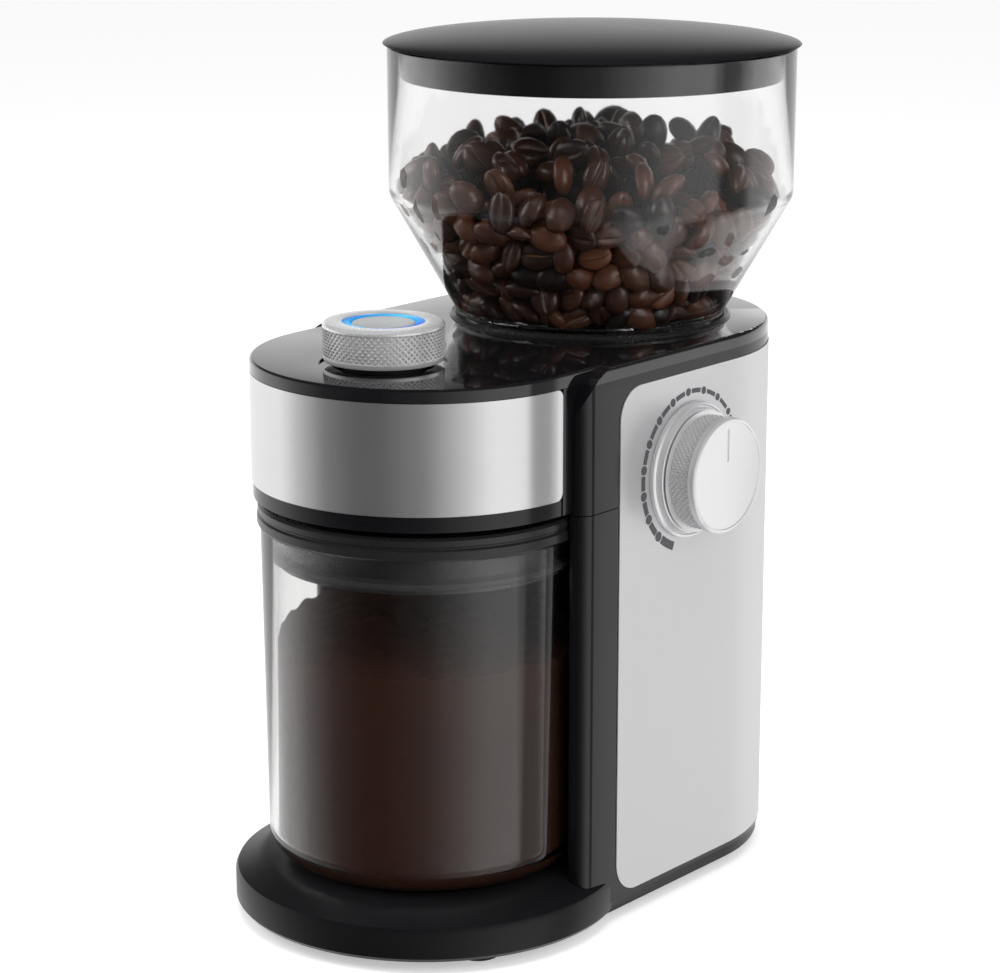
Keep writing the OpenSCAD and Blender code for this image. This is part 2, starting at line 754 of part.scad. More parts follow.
module lower_burr() {
    color([0.6, 0.6, 0.62]) difference() {
        rotate_extrude() polygon([[10, 141.8], [burr_r, 141.8], [burr_r, burr_z], [18, burr_z],
            [12, 144.6], [10, 144.6]]);
        translate([0, 0, burr_z]) mirror([0, 1, 0]) burr_teeth(15, burr_r, 30);
    }
}

module burr_impeller() {
    color([0.7, 0.7, 0.72]) difference() {
        union() {
            rotate_extrude() polygon([[0, 137.2], [burr_r + 2, 137.2], [burr_r + 2, 139],
                [burr_r, 139], [burr_r, 141.8], [10, 141.8], [10, 143.6], [0, 143.6]]);
            for (a = [0 : 45 : 315]) rotate(a) translate([burr_r, -1, 137.2])
                cube([3.6, 2, 9]);
        }
        cylinder(r = spindle_r, h = 200);
    }
}

module burr_spindle() {
    color([0.72, 0.72, 0.74]) {
        translate([0, 0, 99.6]) cylinder(r = spindle_r, h = 143.6 - 99.6);
        translate([0, 0, 143.6]) cylinder(r = 2.5, h = 7);
        translate([0, 0, 131.4]) cylinder(r = 5.6, h = 1);
    }
}

module spindle_nut() {
    color([0.5, 0.5, 0.52]) difference() {
        union() {
            rotate_extrude() polygon([[0, 143.6], [9.4, 143.6], [9.4, 145.4], [5, 150],
                [3.4, 156], [0, 157]]);
            for (a = [0, 180]) rotate(a) translate([0, -0.9, 145.4]) cube([9, 1.8, 4]);
        }
        translate([0, 0, 143]) cylinder(r = 2.5, h = 7.6);
    }
}

module burr_screws() {
    color([0.6, 0.6, 0.62]) for (a = [0, 120, 240]) rotate(a + 90) translate([20, 0, 150.8])
        screw(1.6, 8.6, 2.9, 1.4);
}

module grinding_chamber() {
    color([0.1, 0.1, 0.11]) difference() {
        union() {
            rotate_extrude() polygon([[spindle_r + run, 132.6], [chamber_r, 132.6],
                [chamber_r, 142.2], [37, 142.2], [37, 144.2], [chamber_r, 144.2],
                [chamber_r, 150.2], [30.5, 150.2], [30.5, 135.4], [spindle_r + run, 135.4]]);
            // posts down to the gearbox cover
            for (a = [20, 140, 200, 320]) rotate(a) translate([29, 0, 130])
                cylinder(r = 3, h = 3);
        }
        // way out to the chute
        translate([-11, -40, 135.4]) cube([22, 20, 6.6]);
    }
}

module grounds_chute() {
    color([0.1, 0.1, 0.11]) difference() {
        union() {
            translate([-14.5, -inlet_y - 14.5, 135.4]) cube([29, inlet_y + 14.5 - 33.4, 9.6]);
            translate([0, -inlet_y, 133.2]) cylinder(r = inlet_r - 1.1, h = 6);
        }
        cylinder(r = 33.05, h = 150);
        translate([0, 0, 142]) cylinder(r = 37.3, h = 20);
        translate([-11, -inlet_y - 11, 135.5]) cube([22, inlet_y + 11 - 20, 6.5]);
        translate([0, -inlet_y, 130]) cylinder(r = inlet_r - 2.6, h = 12);
    }
}

// ---- gear train ----

module output_gear() {
    color([0.8, 0.78, 0.7]) difference() {
        union() {
            translate([0, 0, 118]) linear_extrude(8) rotate(a_so) gear_plan(out_n, gear_m, 0.25);
            translate([0, 0, 115.5]) cylinder(r = 8, h = 10.3);
        }
        cylinder(r = spindle_r, h = 200);
        for (a = [0 : 60 : 300]) rotate(a) translate([13.6, 0, 110]) cylinder(r = 3.2, h = 30);
    }
}

module intermediate_gear() {
    color([0.8, 0.78, 0.7]) translate([mid_x, mid_y, 0]) difference() {
        union() {
            translate([0, 0, 108]) linear_extrude(7.4) rotate(a_pm + 180 + 180 / mid_n)
                gear_plan(mid_n, gear_m, 0.25);
            translate([0, 0, 115.4]) linear_extrude(11) rotate(a_so + 180 + 180 / mid_small_n)
                gear_plan(mid_small_n, gear_m, 0.25);
            translate([0, 0, 105.4]) cylinder(r = 5, h = 3);
        }
        cylinder(r = 2 + run, h = 200);
    }
}

module intermediate_axle() {
    color([0.7, 0.7, 0.72]) translate([mid_x, mid_y, 102]) cylinder(r = 2, h = 27.5);
}

module motor_pinion() {
    color([0.75, 0.68, 0.4]) translate([0, motor_y, 0]) difference() {
        translate([0, 0, 107.4]) linear_extrude(9) rotate(a_pm) gear_plan(pinion_n, gear_m, 0.25);
        cylinder(r = 2.5, h = 200);
    }
}

module gearbox_plate(z0, h) {
    translate([0, 0, z0]) linear_extrude(h) inside_plan(in_r);
}

module gearbox_base() {
    color([0.16, 0.16, 0.17]) difference() {
        union() {
            gearbox_plate(101, 3);
            translate([0, 0, 98.4]) cylinder(r = 10.5, h = 6.6);
            translate([mid_x, mid_y, 104]) cylinder(r = 4, h = 1);
            for (p = gearbox_posts) translate([p[0], p[1], 104]) cylinder(r = 4, h = 23.5);
        }
        translate([0, 0, 99.4]) cylinder(r = 8, h = 10);
        translate([0, 0, 90]) cylinder(r = spindle_r + 1, h = 30);
        translate([mid_x, mid_y, 90]) cylinder(r = 2, h = 20);
        translate([0, motor_y, 90]) cylinder(r = 6, h = 20);
        for (p = gearbox_posts) translate([p[0], p[1], 110]) cylinder(r = 1.6, h = 20);
        for (a = [45, 135, 225, 315]) translate([0, motor_y, 90]) rotate(a)
            translate([16, 0, 0]) cylinder(r = 1.6, h = 20);
        for (s = [-1, 1]) translate([s * 43, -4, 90]) cylinder(r = 7, h = 30);
    }
}

gearbox_posts = [[31, 32], [-14, 46], [30, -20], [-34, -20]];

module gearbox_cover() {
    color([0.16, 0.16, 0.17]) difference() {
        union() {
            gearbox_plate(127.5, 2.5);
            translate([0, 0, 126.6]) cylinder(r = 10.5, h = 4.6);
        }
        translate([0, 0, 120]) cylinder(r = 8, h = 10);
        translate([0, 0, 120]) cylinder(r = spindle_r + 1, h = 30);
        translate([mid_x, mid_y, 120]) cylinder(r = 2, h = 20);
        for (p = gearbox_posts) translate([p[0], p[1], 120]) cylinder(r = 1.9, h = 20);
        translate([39, -dial_y - 7.4, 120]) cube([7.3, 14.8, 20]);
        translate([48.7, -dial_y - 10.4, 120]) cube([3.2, 22, 20]);
    }
}

module gearbox_screws() {
    color([0.6, 0.6, 0.62]) {
        for (p = gearbox_posts) translate([p[0], p[1], 115]) screw(1.6, 15, 3, 1.6);
        for (a = [45, 135, 225, 315]) translate([0, motor_y, 97.6]) rotate(a)
            translate([16, 0, 0]) screw(1.6, 6.4, 2.8, 1.6);
    }
}

module spindle_bearings() {
    color([0.75, 0.72, 0.6]) for (z = [99.4, 126]) translate([0, 0, z]) difference() {
        cylinder(r = 8, h = 4);
        translate([0, 0, -1]) cylinder(r = spindle_r + run, h = 8);
    }
}

// ---- motor ----

module motor_can() {
    color([0.45, 0.46, 0.48]) translate([0, motor_y, 0]) difference() {
        union() {
            rotate_extrude() polygon([[0, 40], [24, 40], [24, 97.2], [22.8, 98.4], [8, 98.4],
                [8, 101], [0, 101]]);
        }
        translate([0, 0, 39]) cylinder(r = 22.4, h = 57.6);
        translate([0, 0, 90]) cylinder(r = 2.5 + run, h = 20);
        for (a = [45, 135, 225, 315]) rotate(a) translate([16, 0, 90]) cylinder(r = 1.6, h = 20);
        for (a = [0 : 60 : 300]) rotate(a + 15) translate([10, -1.5, 90]) cube([5, 3, 20]);
    }
}

module motor_magnets() {
    color([0.2, 0.2, 0.22]) translate([0, motor_y, 52]) for (a = [0, 180]) rotate(a)
        intersection() {
            difference() {
                cylinder(r = 22.4, h = 38);
                translate([0, 0, -1]) cylinder(r = 18, h = 40);
            }
            translate([6, -18, 0]) cube([30, 36, 40]);
        }
}

module rotor_core() {
    color([0.5, 0.45, 0.4]) translate([0, motor_y, 0]) difference() {
        union() {
            translate([0, 0, 54]) linear_extrude(34) difference() {
                circle(r = 17.4);
                for (i = [0 : 6]) rotate(i * 360 / 7) translate([11, -1.2]) square([8, 2.4]);
            }
            for (z = [50, 88]) translate([0, 0, z]) cylinder(r = 14, h = 4);
        }
        cylinder(r = 2.5, h = 200);
    }
}

module commutator() {
    color([0.72, 0.45, 0.25]) translate([0, motor_y, 41]) difference() {
        cylinder(r = 6, h = 8.6);
        translate([0, 0, -1]) cylinder(r = 2.5, h = 20);
        for (i = [0 : 6]) rotate(i * 360 / 7) translate([5.2, -0.3, 1]) cube([2, 0.6, 9]);
    }
}

module motor_shaft() {
    color([0.72, 0.72, 0.74]) translate([0, motor_y, 24]) cylinder(r = 2.5, h = 93);
}

module cooling_fan() {
    color([0.1, 0.1, 0.1]) translate([0, motor_y, 0]) difference() {
        union() {
            translate([0, 0, 25]) cylinder(r = 6, h = 7);
            translate([0, 0, 30.6]) cylinder(r = 21, h = 1.4);
            for (i = [0 : 8]) rotate(i * 40) translate([5, -0.7, 25]) cube([16, 1.4, 6]);
        }
        cylinder(r = 2.5, h = 200);
    }
}

module motor_end_bell() {
    color([0.45, 0.46, 0.48]) translate([0, motor_y, 0]) difference() {
        union() {
            translate([0, 0, 36.4]) cylinder(r = 24, h = 3.6);
            translate([0, 0, 33.2]) cylinder(r = 7, h = 5);
            translate([0, 0, 40]) difference() {
                cylinder(r = 22.3, h = 3);
                translate([0, 0, -1]) cylinder(r = 20.6, h = 6);
            }
            for (s = [-1, 1]) translate([s * 13.5 - 6, -3, 39]) cube([12, 6, 1.6]);
        }
        translate([0, 0, 30]) cylinder(r = 2.5 + run, h = 20);
        for (a = [0 : 45 : 315]) rotate(a + 22.5) translate([15.4, 0, 30]) cylinder(r = 3, h = 8);
    }
}

module carbon_brushes() {
    color([0.2, 0.2, 0.2]) translate([0, motor_y, 0]) for (s = [-1, 1])
        translate([s * 12.1 - 5.8, -2.4, 40.6]) cube([11.6, 4.8, 6]);
}

// ---- grounds bin ----

module grounds_bin() {
    color([0.85, 0.88, 0.9, 0.35]) translate([0, -axis_gap, 0]) rotate_extrude() {
        difference() {
            polygon([[0, bin_z], [bin_r - bin_taper - 6, bin_z], [bin_r - bin_taper - 2, bin_z + 1.6],
                [bin_r - bin_taper, bin_z + 6], [bin_r, bin_top], [bin_r - bin_wall, bin_top],
                [bin_r - bin_taper - bin_wall, bin_z + 7], [bin_r - bin_taper - bin_wall - 1.6,
                bin_z + 3.8], [bin_r - bin_taper - bin_wall - 5, bin_z + 2.6], [0, bin_z + 2.6]]);
        }
    }
}

module bin_lid() {
    color([0.04, 0.04, 0.045]) difference() {
        translate([0, -axis_gap, 0]) rotate_extrude() polygon([[0, 127.6], [44.4, 127.6],
            [44.4, 113], [46, 113], [46, 119], [46.4, 121], [47.5, bin_top + 0.1],
            [bin_r + 0.6, bin_top + 0.1], [bin_r + 0.9, bin_top + 0.6], [bin_r + 0.9, 127],
            [bin_r + 0.3, 127.6],
            [bin_r + 0.3, 128], [bin_r + 0.7, 128.4], [bin_r + 0.7, 130.2], [bin_r, bin_lid_top],
            [bin_r - 5, bin_lid_top], [bin_r - 7, 129.8], [0, 129.8]]);
        translate([0, -inlet_y, 110]) cylinder(r = inlet_r, h = 30);
    }
}

module bin_seal() {
    color([0.1, 0.1, 0.1]) translate([0, -axis_gap, 0]) rotate_extrude() polygon([[46, 114],
        [47.5, 115], [47.55, 116.4], [46, 117.4]]);
}

// ---- electrics ----

module control_board() {
    color([0.06, 0.3, 0.14]) translate([-46, -20, 30]) cube([1.6, 40, 62]);
    color([0.5, 0.4, 0.1]) translate([-44.4, 0, 66]) cube([13, 14, 20]);
    color([0.1, 0.1, 0.4]) for (i = [0, 1]) translate([-44.4, -8, 46 + i * 16])
        rotate([0, 90, 0]) cylinder(r = 6, h = 14);
    color([0.1, 0.1, 0.1]) translate([-44.4, 4, 36]) cube([2, 12, 12]);
    color([0.9, 0.9, 0.88]) translate([-44.4, -18, 78]) cube([7, 10, 8]);
    color([0.1, 0.1, 0.1]) for (z = [32, 86]) translate([-54.7, -6, z]) cube([8.7, 6, 3]);
}

module micro_switch() {
    translate([-10, -3, -5]) cube([20, 6, 10]);
    translate([4, -1.5, 5]) cube([3, 3, 1.4]);
    for (x = [-8, 0, 8]) translate([x - 0.4, -1.6, -9]) cube([0.8, 3.2, 4]);
}

module hopper_switch() {
    color([0.15, 0.15, 0.16]) {
        rotate(135) translate([47, 0, 160]) rotate([0, 0, 90]) micro_switch();
        rotate(135) translate([47, 0, 165]) rotate([0, 0, 90]) translate([-10, -3, 0])
            cube([4, 6, 6.3]);
    }
}

module bin_switch() {
    color([0.15, 0.15, 0.16]) translate([0, -20.8, 86.5]) rotate([90, 0, 0]) micro_switch();
}

// ---- every node, one line each ----

base_tray();
rubber_feet();
lower_shell();
upper_shell();
top_deck();
front_band();
right_side_panel();
left_side_panel();
rear_cover();
cord_gland();
hopper_collar();
hopper();
hopper_lid();
cup_selector_knob();
selector_post();
light_ring();
start_button();
button_spring();
button_switch();
display_board();
selector_encoder();
grind_dial_knob();
dial_bezel();
dial_shaft();
adjust_rack();
rack_guide();
dial_detent();
adjusting_ring();
upper_burr_carrier();
upper_burr();
lower_burr();
burr_impeller();
burr_spindle();
spindle_nut();
output_gear();
intermediate_gear();
intermediate_axle();
motor_pinion();
motor_shaft();
rotor_core();
commutator();
cooling_fan();
motor_can();
motor_end_bell();
motor_magnets();
carbon_brushes();
gearbox_base();
gearbox_cover();
spindle_bearings();
grinding_chamber();
grounds_chute();
grounds_bin();
bin_lid();
bin_seal();
control_board();
hopper_switch();
bin_switch();
base_screws();
gearbox_screws();
burr_screws();
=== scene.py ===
import math

import bmesh
import bpy
import numpy as np
from mathutils import Matrix, Vector


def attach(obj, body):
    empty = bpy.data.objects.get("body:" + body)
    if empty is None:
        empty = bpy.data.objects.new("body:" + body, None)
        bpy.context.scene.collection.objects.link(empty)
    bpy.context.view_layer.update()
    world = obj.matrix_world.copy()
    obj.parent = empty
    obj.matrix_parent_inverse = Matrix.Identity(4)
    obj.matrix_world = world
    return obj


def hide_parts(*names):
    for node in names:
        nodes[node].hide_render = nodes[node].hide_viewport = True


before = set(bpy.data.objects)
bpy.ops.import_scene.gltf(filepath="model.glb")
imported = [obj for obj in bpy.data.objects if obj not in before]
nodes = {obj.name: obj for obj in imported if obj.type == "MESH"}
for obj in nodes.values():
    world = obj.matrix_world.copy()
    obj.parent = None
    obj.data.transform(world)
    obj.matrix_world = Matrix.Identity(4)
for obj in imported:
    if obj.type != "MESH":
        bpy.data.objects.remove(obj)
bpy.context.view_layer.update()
MM = 0.001

# ---- Camera ----
# The camera stands in front of the grinder, to its right and a little above it.
view_azimuth = math.radians(39.2)
view_elevation = math.radians(14.2)
view_distance = 0.9501
view_target = Vector((0.0004, -0.0461, 0.1269))
away = Vector((
    math.sin(view_azimuth) * math.cos(view_elevation),
    -math.cos(view_azimuth) * math.cos(view_elevation),
    math.sin(view_elevation),
))
lens = bpy.data.cameras.new("camera")
lens.sensor_width = 36
lens.lens = 109.16
camera = bpy.data.objects.new("camera", lens)
bpy.context.scene.collection.objects.link(camera)
camera.location = view_target + away * view_distance
camera.rotation_euler = (-away).to_track_quat("-Z", "Y").to_euler()
bpy.context.scene.camera = camera
bpy.context.scene.view_settings.view_transform = "Standard"

# ---- Studio: walls of light, lamps and floor ----
# A white room. Shiny faces see two bright walls, left and right, with a dark gap
# in front, and everything else gets an even soft light. The camera sees plain white.
world = bpy.data.worlds.new("studio")
bpy.context.scene.world = world
world.use_nodes = True
room = world.node_tree
room.nodes.clear()
room_out = room.nodes.new("ShaderNodeOutputWorld")
room_coord = room.nodes.new("ShaderNodeTexCoord")
around = room.nodes.new("ShaderNodeTexGradient")
around.gradient_type = "RADIAL"
room.links.new(room_coord.outputs["Generated"], around.inputs["Vector"])
walls = room.nodes.new("ShaderNodeValToRGB")
room.links.new(around.outputs["Fac"], walls.inputs["Fac"])
# Direction in degrees from +X towards +Y, and brightness.
wall_light = [(-179, 1.0), (-158, 1.0), (-140, 0.55), (-118, 0.14), (-95, 0.03), (-78, 0.03),
              (-48, 0.16), (-22, 0.60), (-4, 1.0), (23, 1.0), (26, 0.26), (44, 0.30),
              (50, 1.0), (85, 1.0), (179, 1.0)]
walls.color_ramp.interpolation = "LINEAR"
while len(walls.color_ramp.elements) < len(wall_light):
    walls.color_ramp.elements.new(0.5)
for stop, (degrees, light) in zip(walls.color_ramp.elements, wall_light):
    stop.position = degrees / 360 + 0.5
    stop.color = (light, light, light, 1)
# The walls of light end a little above the horizon, and the ceiling is dark.
height = room.nodes.new("ShaderNodeSeparateXYZ")
room.links.new(room_coord.outputs["Generated"], height.inputs[0])
ceiling = room.nodes.new("ShaderNodeMapRange")
ceiling.interpolation_type = "SMOOTHSTEP"
ceiling.inputs["From Min"].default_value = 0.10
ceiling.inputs["From Max"].default_value = 0.38
ceiling.inputs["To Min"].default_value = 1.0
ceiling.inputs["To Max"].default_value = 0.07
room.links.new(height.outputs["Z"], ceiling.inputs["Value"])
shiny = room.nodes.new("ShaderNodeBackground")
room.links.new(walls.outputs["Color"], shiny.inputs["Color"])
room.links.new(ceiling.outputs["Result"], shiny.inputs["Strength"])
soft = room.nodes.new("ShaderNodeBackground")
soft.inputs["Color"].default_value = (1, 1, 1, 1)
soft.inputs["Strength"].default_value = 0.62
white = room.nodes.new("ShaderNodeBackground")
white.inputs["Color"].default_value = (1, 1, 1, 1)
ray = room.nodes.new("ShaderNodeLightPath")
mirrored = room.nodes.new("ShaderNodeMath")
mirrored.operation = "GREATER_THAN"
mirrored.inputs[1].default_value = 0.5
room.links.new(ray.outputs["Glossy Depth"], mirrored.inputs[0])
straight = room.nodes.new("ShaderNodeMath")
straight.operation = "GREATER_THAN"
room.links.new(ray.outputs["Is Transmission Ray"], straight.inputs[0])
room.links.new(mirrored.outputs[0], straight.inputs[1])
seen = room.nodes.new("ShaderNodeMath")
seen.operation = "MAXIMUM"
room.links.new(ray.outputs["Is Camera Ray"], seen.inputs[0])
room.links.new(straight.outputs[0], seen.inputs[1])
mix_shiny = room.nodes.new("ShaderNodeMixShader")
room.links.new(mirrored.outputs[0], mix_shiny.inputs["Fac"])
room.links.new(soft.outputs[0], mix_shiny.inputs[1])
room.links.new(shiny.outputs[0], mix_shiny.inputs[2])
mix_seen = room.nodes.new("ShaderNodeMixShader")
room.links.new(seen.outputs[0], mix_seen.inputs["Fac"])
room.links.new(mix_shiny.outputs[0], mix_seen.inputs[1])
room.links.new(white.outputs[0], mix_seen.inputs[2])
room.links.new(mix_seen.outputs[0], room_out.inputs["Surface"])


def softbox(name, place, target, size, power):
    """A square lamp that lights the pieces but isn't mirrored in them."""
    lamp = bpy.data.lights.new(name, "AREA")
    lamp.shape = "RECTANGLE"
    lamp.size, lamp.size_y = size
    lamp.energy = power
    box = bpy.data.objects.new(name, lamp)
    bpy.context.scene.collection.objects.link(box)
    box.location = place
    box.rotation_euler = (Vector(target) - Vector(place)).to_track_quat("-Z", "Y").to_euler()
    box.visible_glossy = False
    return box


softbox("lamp_left", (-0.9, -0.75, 0.75), (0, -0.05, 0.14), (0.7, 0.9), 7.5)
softbox("lamp_right", (1.15, -0.25, 0.6), (0, -0.05, 0.14), (0.5, 0.9), 6.0)
softbox("lamp_top", (0.1, -0.2, 1.3), (0, -0.04, 0.15), (0.9, 0.9), 8.0)


def deselect():
    """Nothing stays selected or in edit mode."""
    if bpy.context.object and bpy.context.object.mode != "OBJECT":
        bpy.ops.object.mode_set(mode="OBJECT")
    bpy.ops.object.select_all(action="DESELECT")


# The floor is matt paper with a little glow of its own for the camera, so that it stays
# white and keeps the shadow. Mirrors look through it.
deselect()
bpy.ops.mesh.primitive_plane_add(size=6, location=(0, 0, -0.0002))
floor = bpy.context.object
floor.name = "floor"
floor_finish = bpy.data.materials.new("floor_white")
floor_finish.use_nodes = True
sheet = floor_finish.node_tree
sheet.nodes.clear()
sheet_out = sheet.nodes.new("ShaderNodeOutputMaterial")
paper = sheet.nodes.new("ShaderNodeBsdfDiffuse")
paper.inputs["Color"].default_value = (0.82, 0.82, 0.82, 1)
glow = sheet.nodes.new("ShaderNodeEmission")
both = sheet.nodes.new("ShaderNodeAddShader")
sheet.links.new(paper.outputs[0], both.inputs[0])
sheet.links.new(glow.outputs[0], both.inputs[1])
clear = sheet.nodes.new("ShaderNodeBsdfTransparent")
floor_ray = sheet.nodes.new("ShaderNodeLightPath")
floor_mix = sheet.nodes.new("ShaderNodeMixShader")
dim = sheet.nodes.new("ShaderNodeMath")
dim.operation = "MULTIPLY"
dim.inputs[1].default_value = 0.42
sheet.links.new(floor_ray.outputs["Is Camera Ray"], dim.inputs[0])
sheet.links.new(dim.outputs[0], glow.inputs["Strength"])
sheet.links.new(floor_ray.outputs["Is Glossy Ray"], floor_mix.inputs["Fac"])
sheet.links.new(both.outputs[0], floor_mix.inputs[1])
sheet.links.new(clear.outputs[0], floor_mix.inputs[2])
sheet.links.new(floor_mix.outputs[0], sheet_out.inputs["Surface"])
floor.data.materials.append(floor_finish)


# ---- Base tray ----
# The black moulded foot of the grinder: a round step under the bin, running back
# under the column. Fine moulded satin grain.

def grain_group():
    """Node group: fine moulded grain on Object coordinates, as a shade and a height."""
    group = bpy.data.node_groups.new("moulded_grain", "ShaderNodeTree")
    face = group.interface
    face.new_socket("Scale", in_out="INPUT", socket_type="NodeSocketFloat").default_value = 900
    face.new_socket("Stretch", in_out="INPUT", socket_type="NodeSocketVector").default_value = (
        1, 1, 1)
    face.new_socket("Shade", in_out="OUTPUT", socket_type="NodeSocketFloat")
    face.new_socket("Height", in_out="OUTPUT", socket_type="NodeSocketFloat")
    inside = group.nodes.new("NodeGroupInput")
    outside = group.nodes.new("NodeGroupOutput")
    coord = group.nodes.new("ShaderNodeTexCoord")
    stretch = group.nodes.new("ShaderNodeVectorMath")
    stretch.operation = "MULTIPLY"
    group.links.new(coord.outputs["Object"], stretch.inputs[0])
    group.links.new(inside.outputs["Stretch"], stretch.inputs[1])
    fine = group.nodes.new("ShaderNodeTexNoise")
    fine.inputs["Detail"].default_value = 4
    group.links.new(stretch.outputs[0], fine.inputs["Vector"])
    group.links.new(inside.outputs["Scale"], fine.inputs["Scale"])
    broad = group.nodes.new("ShaderNodeTexNoise")
    broad.inputs["Scale"].default_value = 22
    broad.inputs["Detail"].default_value = 3
    group.links.new(coord.outputs["Object"], broad.inputs["Vector"])
    mix = group.nodes.new("ShaderNodeMath")
    mix.operation = "ADD"
    half = group.nodes.new("ShaderNodeMath")
    half.operation = "MULTIPLY"
    half.inputs[1].default_value = 0.5
    group.links.new(fine.outputs["Fac"], mix.inputs[0])
    group.links.new(broad.outputs["Fac"], mix.inputs[1])
    group.links.new(mix.outputs[0], half.inputs[0])
    group.links.new(half.outputs[0], outside.inputs["Shade"])
    group.links.new(fine.outputs["Fac"], outside.inputs["Height"])
    return group


moulded_grain = grain_group()


def surface(name, colour, roughness, metallic=0.0, coat=0.0, scale=900, stretch=(1, 1, 1),
            tint=0.06, rough_spread=0.08, bump=0.05, bump_depth=0.00002):
    """A solid finish: its colour and roughness shift with the grain, which also dents it."""
    material = bpy.data.materials.new(name)
    material.use_nodes = True
    tree = material.node_tree
    shader = tree.nodes["Principled BSDF"]
    shader.inputs["Metallic"].default_value = metallic
    shader.inputs["Coat Weight"].default_value = coat
    shader.inputs["Coat Roughness"].default_value = 0.04
    grain = tree.nodes.new("ShaderNodeGroup")
    grain.node_tree = moulded_grain
    grain.inputs["Scale"].default_value = scale
    grain.inputs["Stretch"].default_value = stretch
    ramp = tree.nodes.new("ShaderNodeMix")
    ramp.data_type = "RGBA"
    low = [max(0, c * (1 - tint)) for c in colour] + [1]
    high = [min(1, c * (1 + tint)) for c in colour] + [1]
    ramp.inputs[6].default_value = low
    ramp.inputs[7].default_value = high
    tree.links.new(grain.outputs["Shade"], ramp.inputs[0])
    tree.links.new(ramp.outputs[2], shader.inputs["Base Color"])
    spread = tree.nodes.new("ShaderNodeMapRange")
    spread.inputs["To Min"].default_value = max(0.02, roughness - rough_spread)
    spread.inputs["To Max"].default_value = min(1, roughness + rough_spread)
    tree.links.new(grain.outputs["Shade"], spread.inputs["Value"])
    tree.links.new(spread.outputs["Result"], shader.inputs["Roughness"])
    if bump:
        dent = tree.nodes.new("ShaderNodeBump")
        dent.inputs["Strength"].default_value = bump
        dent.inputs["Distance"].default_value = bump_depth
        tree.links.new(grain.outputs["Height"], dent.inputs["Height"])
        tree.links.new(dent.outputs["Normal"], shader.inputs["Normal"])
    return material


def smoothed_copy(node, name, material, body, angle=28):
    """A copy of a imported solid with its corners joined, so that its curves shade smoothly."""
    deselect()
    piece = bpy.data.objects.new(name, nodes[node].data.copy())
    bpy.context.scene.collection.objects.link(piece)
    piece.data.materials.clear()
    piece.data.materials.append(material)
    bpy.context.view_layer.objects.active = piece
    piece.select_set(True)
    if piece.data.has_custom_normals:
        bpy.ops.mesh.customdata_custom_splitnormals_clear()
    bpy.ops.object.mode_set(mode="EDIT")
    bpy.ops.mesh.select_all(action="SELECT")
    bpy.ops.mesh.remove_doubles(threshold=0.000004)
    bpy.ops.object.mode_set(mode="OBJECT")
    bpy.ops.object.shade_smooth_by_angle(angle=math.radians(angle))
    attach(piece, body)
    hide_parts(node)
    return piece


def paint(node, material):
    """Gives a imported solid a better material."""
    solid = nodes[node]
    solid.data.materials.clear()
    solid.data.materials.append(material)


base_black = surface("base_satin_black", (0.006, 0.006, 0.007), 0.34, scale=1400, bump=0.12)
base_black.node_tree.nodes["Principled BSDF"].inputs["Specular IOR Level"].default_value = 0.3
smoothed_copy("base_tray", "base_tray_moulding", base_black, "housing")

# ---- Rubber feet ----
# Five soft pads pushed into the tray. Dull rubber with an uneven tint.
foot_rubber = surface("foot_rubber", (0.018, 0.018, 0.018), 0.85, scale=700, bump=0.3,
                      tint=0.25)
smoothed_copy("rubber_feet", "rubber_foot_pads", foot_rubber, "housing")

# ---- Column and head shells ----
# Two gloss black mouldings that meet at a seam. The column wraps round the bin.
shell_gloss = surface("shell_gloss_black", (0.004, 0.004, 0.005), 0.13, scale=260, bump=0.02,
                      rough_spread=0.04)
smoothed_copy("lower_shell", "column_moulding", shell_gloss, "housing")
smoothed_copy("upper_shell", "head_moulding", shell_gloss, "housing")

# ---- Deck ----
# The polished black top plate with its rounded rim.
deck_gloss = surface("deck_high_gloss", (0.006, 0.006, 0.007), 0.05, coat=0.6, scale=200,
                     bump=0.0, rough_spread=0.02)
smoothed_copy("top_deck", "deck_plate", deck_gloss, "housing")

# ---- Steel band ----
# A thin strip of stainless steel wrapped round the head, brushed along its length.
brushed_steel = surface("band_brushed_steel", (0.75, 0.75, 0.76), 0.19, metallic=0.91,
                        scale=60, stretch=(0.6, 0.6, 90), tint=0.10, rough_spread=0.07,
                        bump=0.12, bump_depth=0.00003)
smoothed_copy("front_band", "steel_band", brushed_steel, "housing")

# ---- Side panels ----
# Silver-painted skins let into both sides of the column, wrapping to the rear.
panel_silver = surface("panel_satin_silver", (0.70, 0.70, 0.71), 0.40, metallic=0.7,
                       scale=1500, tint=0.04, bump=0.05)
smoothed_copy("right_side_panel", "dial_side_panel", panel_silver, "housing")
smoothed_copy("left_side_panel", "plain_side_panel", panel_silver, "housing")


# ---- Dial scale ----
# Dots and dashes printed round the grind dial, thick for coarse and thin for fine.

def flat_patch(bm, points):
    """One printed patch just off the side panel, from (y, z) corners in millimetres."""
    print_x = 57.45
    corners = [bm.verts.new((print_x * MM, y * MM, z * MM)) for y, z in points]
    return bm.faces.new(corners)


dial_y = -23.5
dial_z = 137.2
scale_r = 24.4
first_dot = 138.0
dot_step = 19.1
dots = 16
dash_gap = 4.2
bar_start = 142.5
bar_sweep = 17
bar_in = scale_r - 1.5
bar_out = scale_r + 1.2
round_corners = 20
arc_steps = 8


def on_scale(angle, radius):
    """Point on the scale, angle in degrees from the top towards the bin."""
    a = math.radians(angle)
    return (dial_y - radius * math.sin(a), dial_z + radius * math.cos(a))


